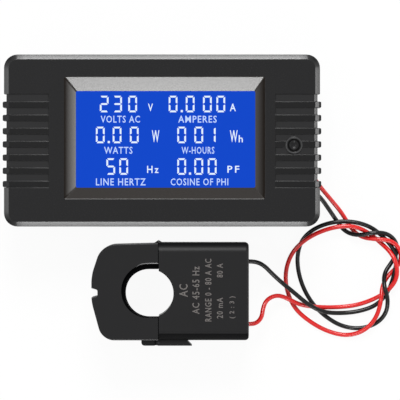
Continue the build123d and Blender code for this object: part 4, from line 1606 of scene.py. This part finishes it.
    def finish(self, jaw: bpy.types.Object) -> None:
        """Give the jaw its finishes, region by region: a painted highlight on the rim's top edge and painted
        shade on the aperture's wall and ledge.

        Args:
            jaw: The jaw's shell.
        """
        eased_z = self.sizes.thick - self.rim_eased
        ledge_z = self.sizes.thick - self.rim_depth
        dress(jaw, SENSOR)
        dress_faces(jaw, CASE, lambda mid, normal: mid.z > eased_z and slopes(mid, normal))
        # The rim's straight top edge gets a painted highlight
        dress_faces(jaw, LIP_PAINTED_HIGHLIGHT, lambda mid, normal: self.by_rim(mid) and slopes(mid, normal))
        # The aperture's wall and the rim's ledge get painted shade
        dress_faces(jaw, BORE_PAINTED_SHADE, lambda mid, normal: self.at_bore(mid) and abs(normal.z) < WALL)
        dress_faces(
            jaw, BORE_PAINTED_SHADE, lambda mid, normal: faces_up(mid, normal) and abs(mid.z - ledge_z) < SLACK / 2
        )

    def build(self) -> bpy.types.Object:
        """Build the jaw's shell.

        Returns:
            The finished piece.
        """
        sizes = self.sizes
        thick = sizes.thick
        jaw = self.outline()
        work(jaw, self.catch(), Join.ADD)
        work(jaw, self.strap(), Join.ADD)
        work(jaw, sizes.bore(), Join.CUT)
        end = sizes.parting_x - sizes.gap + PAST
        x, y = sizes.aperture
        reach = sizes.aperture_radius
        work(jaw, block("throat", (x, y - reach, -PAST), (end, y + reach, thick + PAST)), Join.CUT)
        x, y = self.rim
        reach = self.rim_radius
        for z0, z1 in ((-PAST, self.rim_depth), (thick - self.rim_depth, thick + PAST)):
            rim = disc("rim", self.rim, (z0, z1), reach)
            work(rim, block("rim_throat", (x, y - reach, z0), (end, y + reach, z1)), Join.ADD)
            work(jaw, rim, Join.CUT)
        work(jaw, self.notch(), Join.CUT)
        work(jaw, self.core_room(), Join.CUT)
        z0, z1 = self.tongue_z
        low, high = sizes.snap_y - self.tongue_half, sizes.snap_y + self.tongue_half
        work(jaw, block("tongue", (self.tongue_x[0], low, z0), (self.tongue_x[1], high, z1)), Join.ADD)
        ease(jaw, self.rim_eased, lambda mid: sizes.on_flats(mid) and self.by_rim(mid))
        ease(jaw, self.eased, lambda mid: sizes.on_flats(mid) and not self.at_bore(mid))
        jaw.name = "sensor_jaw"
        self.finish(jaw)
        settle_on(jaw, "jaw", "jaw_shell")
        return jaw


@dataclass(frozen=True)
class Lamp:
    """A square soft box: its place in metres, size and power."""

    name: str
    place: Point
    size: float
    power: float


@dataclass
class Studio:
    """Camera above the table, soft lights and a pale floor."""

    centre_x_mm: float = 10.69
    centre_y_mm: float = -16.73
    height_mm: float = 1500.0
    span_mm: float = 114.26
    film_mm: float = 36.0
    far_end: float = 10.0
    aim_z: float = 0.01
    sky_share: float = 0.45
    table_share: float = 0.94
    table_size: float = 8.0
    table_z_mm: float = -0.05
    lamps: tuple[Lamp, ...] = (
        Lamp("frame_near", (0.0, -1.0, 0.73), 0.2, 2.4),
        Lamp("frame_right", (1.1, -0.02, 0.56), 0.3, 0.8),
        Lamp("high_far", (0.0, 0.75, 1.0), 0.5, 11.0),
        Lamp("high_left", (-0.55, 0.1, 1.2), 0.15, 1.6),
        Lamp("low_far", (0.0, 1.25, 0.16), 0.3, 3.6),
        Lamp("low_near", (0.0, -1.25, 0.16), 0.3, 2.1),
        Lamp("low_right", (1.25, 0.0, 0.16), 0.3, 1.0),
        Lamp("low_left", (-1.25, 0.0, 0.16), 0.3, 0.33),
    )

    def camera(self) -> None:
        """Place the camera straight above, far enough for a flat view."""
        data = bpy.data.cameras.new("camera")
        data.sensor_width = self.film_mm
        data.lens = self.film_mm * self.height_mm / self.span_mm
        data.clip_end = self.far_end
        camera = bpy.data.objects.new("camera", data)
        camera.location = (self.centre_x_mm * MM, self.centre_y_mm * MM, self.height_mm * MM)
        bpy.context.scene.collection.objects.link(camera)
        bpy.context.scene.camera = camera

    def hang_lamps(self) -> None:
        """Hang the soft boxes."""
        aim = Vector((self.centre_x_mm * MM, self.centre_y_mm * MM, self.aim_z))
        for lamp in self.lamps:
            data = bpy.data.lights.new(lamp.name, "AREA")
            data.shape = "SQUARE"
            data.size = lamp.size
            data.energy = lamp.power
            hung = bpy.data.objects.new(lamp.name, data)
            hung.location = lamp.place
            hung.rotation_euler = (aim - Vector(lamp.place)).to_track_quat("-Z", "Y").to_euler()
            bpy.context.scene.collection.objects.link(hung)

    def shown(self, tree: bpy.types.NodeTree, share: float) -> bpy.types.NodeSocket:
        """Give the share of the white background for rays that show it: seen, mirrored or let through.

        Args:
            tree: The node tree of a material or the world.
            share: The share for those rays, 0 to 1.

        Returns:
            The socket that carries the share, 0 for every other ray.
        """
        path = add_node(tree, "ShaderNodeLightPath", {})
        most = path.outputs["Is Camera Ray"]
        for ray in ("Is Glossy Ray", "Is Transmission Ray"):
            larger = add_node(tree, "ShaderNodeMath", {0: most, 1: path.outputs[ray]}, "MAXIMUM")
            most = larger.outputs["Value"]
        return add_node(tree, "ShaderNodeMath", {0: most, 1: share}, "MULTIPLY").outputs["Value"]

    def surroundings(self) -> None:
        """Set a world that is white where it shows and dimmer as light."""
        world = bpy.data.worlds.new("studio_world")
        bpy.context.scene.world = world
        world.use_nodes = True
        tree = world.node_tree
        ends = {"To Min": self.sky_share, "To Max": 1.0, "Value": self.shown(tree, 1.0)}
        strength = add_node(tree, "ShaderNodeMapRange", ends).outputs["Result"]
        feed(tree, tree.nodes["Background"], {"Color": PAPER, "Strength": strength})

    def floor(self) -> None:
        """Lay the white table top, which keeps a little of the shadow and is clear from below."""
        bpy.ops.object.select_all(action="DESELECT")
        bpy.ops.mesh.primitive_plane_add(size=self.table_size, location=(0, 0, self.table_z_mm * MM))
        table = bpy.context.object
        table.name = "table_top"
        made = bpy.data.materials.new("table_white")
        made.use_nodes = True
        tree = made.node_tree
        shader = tree.nodes["Principled BSDF"]
        plain = {"Base Color": (0.9, 0.9, 0.9, 1.0), "Roughness": 0.9, "Specular IOR Level": 0.1}
        feed(tree, shader, plain)
        glow = add_node(tree, "ShaderNodeEmission", {"Color": PAPER})
        share = self.shown(tree, self.table_share)
        sides = {"Fac": share, 1: shader.outputs["BSDF"], 2: glow.outputs["Emission"]}
        mix = add_node(tree, "ShaderNodeMixShader", sides)
        behind = add_node(tree, "ShaderNodeNewGeometry", {}).outputs["Backfacing"]
        clear = add_node(tree, "ShaderNodeBsdfTransparent", {})
        sides = {"Fac": behind, 1: mix.outputs["Shader"], 2: clear.outputs["BSDF"]}
        either = add_node(tree, "ShaderNodeMixShader", sides)
        feed(tree, tree.nodes["Material Output"], {"Surface": either.outputs["Shader"]})
        table.data.materials.append(made)

    def build(self) -> None:
        """Set up the whole studio."""
        self.camera()
        self.hang_lamps()
        self.surroundings()
        self.floor()
        bpy.context.scene.view_settings.view_transform = "Standard"


def main() -> None:
    """Build the scene."""
    logging.basicConfig(level=logging.INFO)
    Studio().build()
    leads = [
        Lead("lead_red", "lead_red", RED, "red_lead", 200.5, RED_ROUTE),
        Lead("lead_black", "lead_black", BLACK, "black_lead", 195.8, BLACK_ROUTE),
    ]
    for lead in leads:
        log.info("laid %s", lead.build().name)
    dress_nodes()
    bezel = Bezel()
    bezel.build()
    bezel.supports()
    Button().build()
    Display().build()
    half = FixedHalf()
    half.build()
    half.ink()
    Jaw().build()


if __name__ == "__main__":
    main()
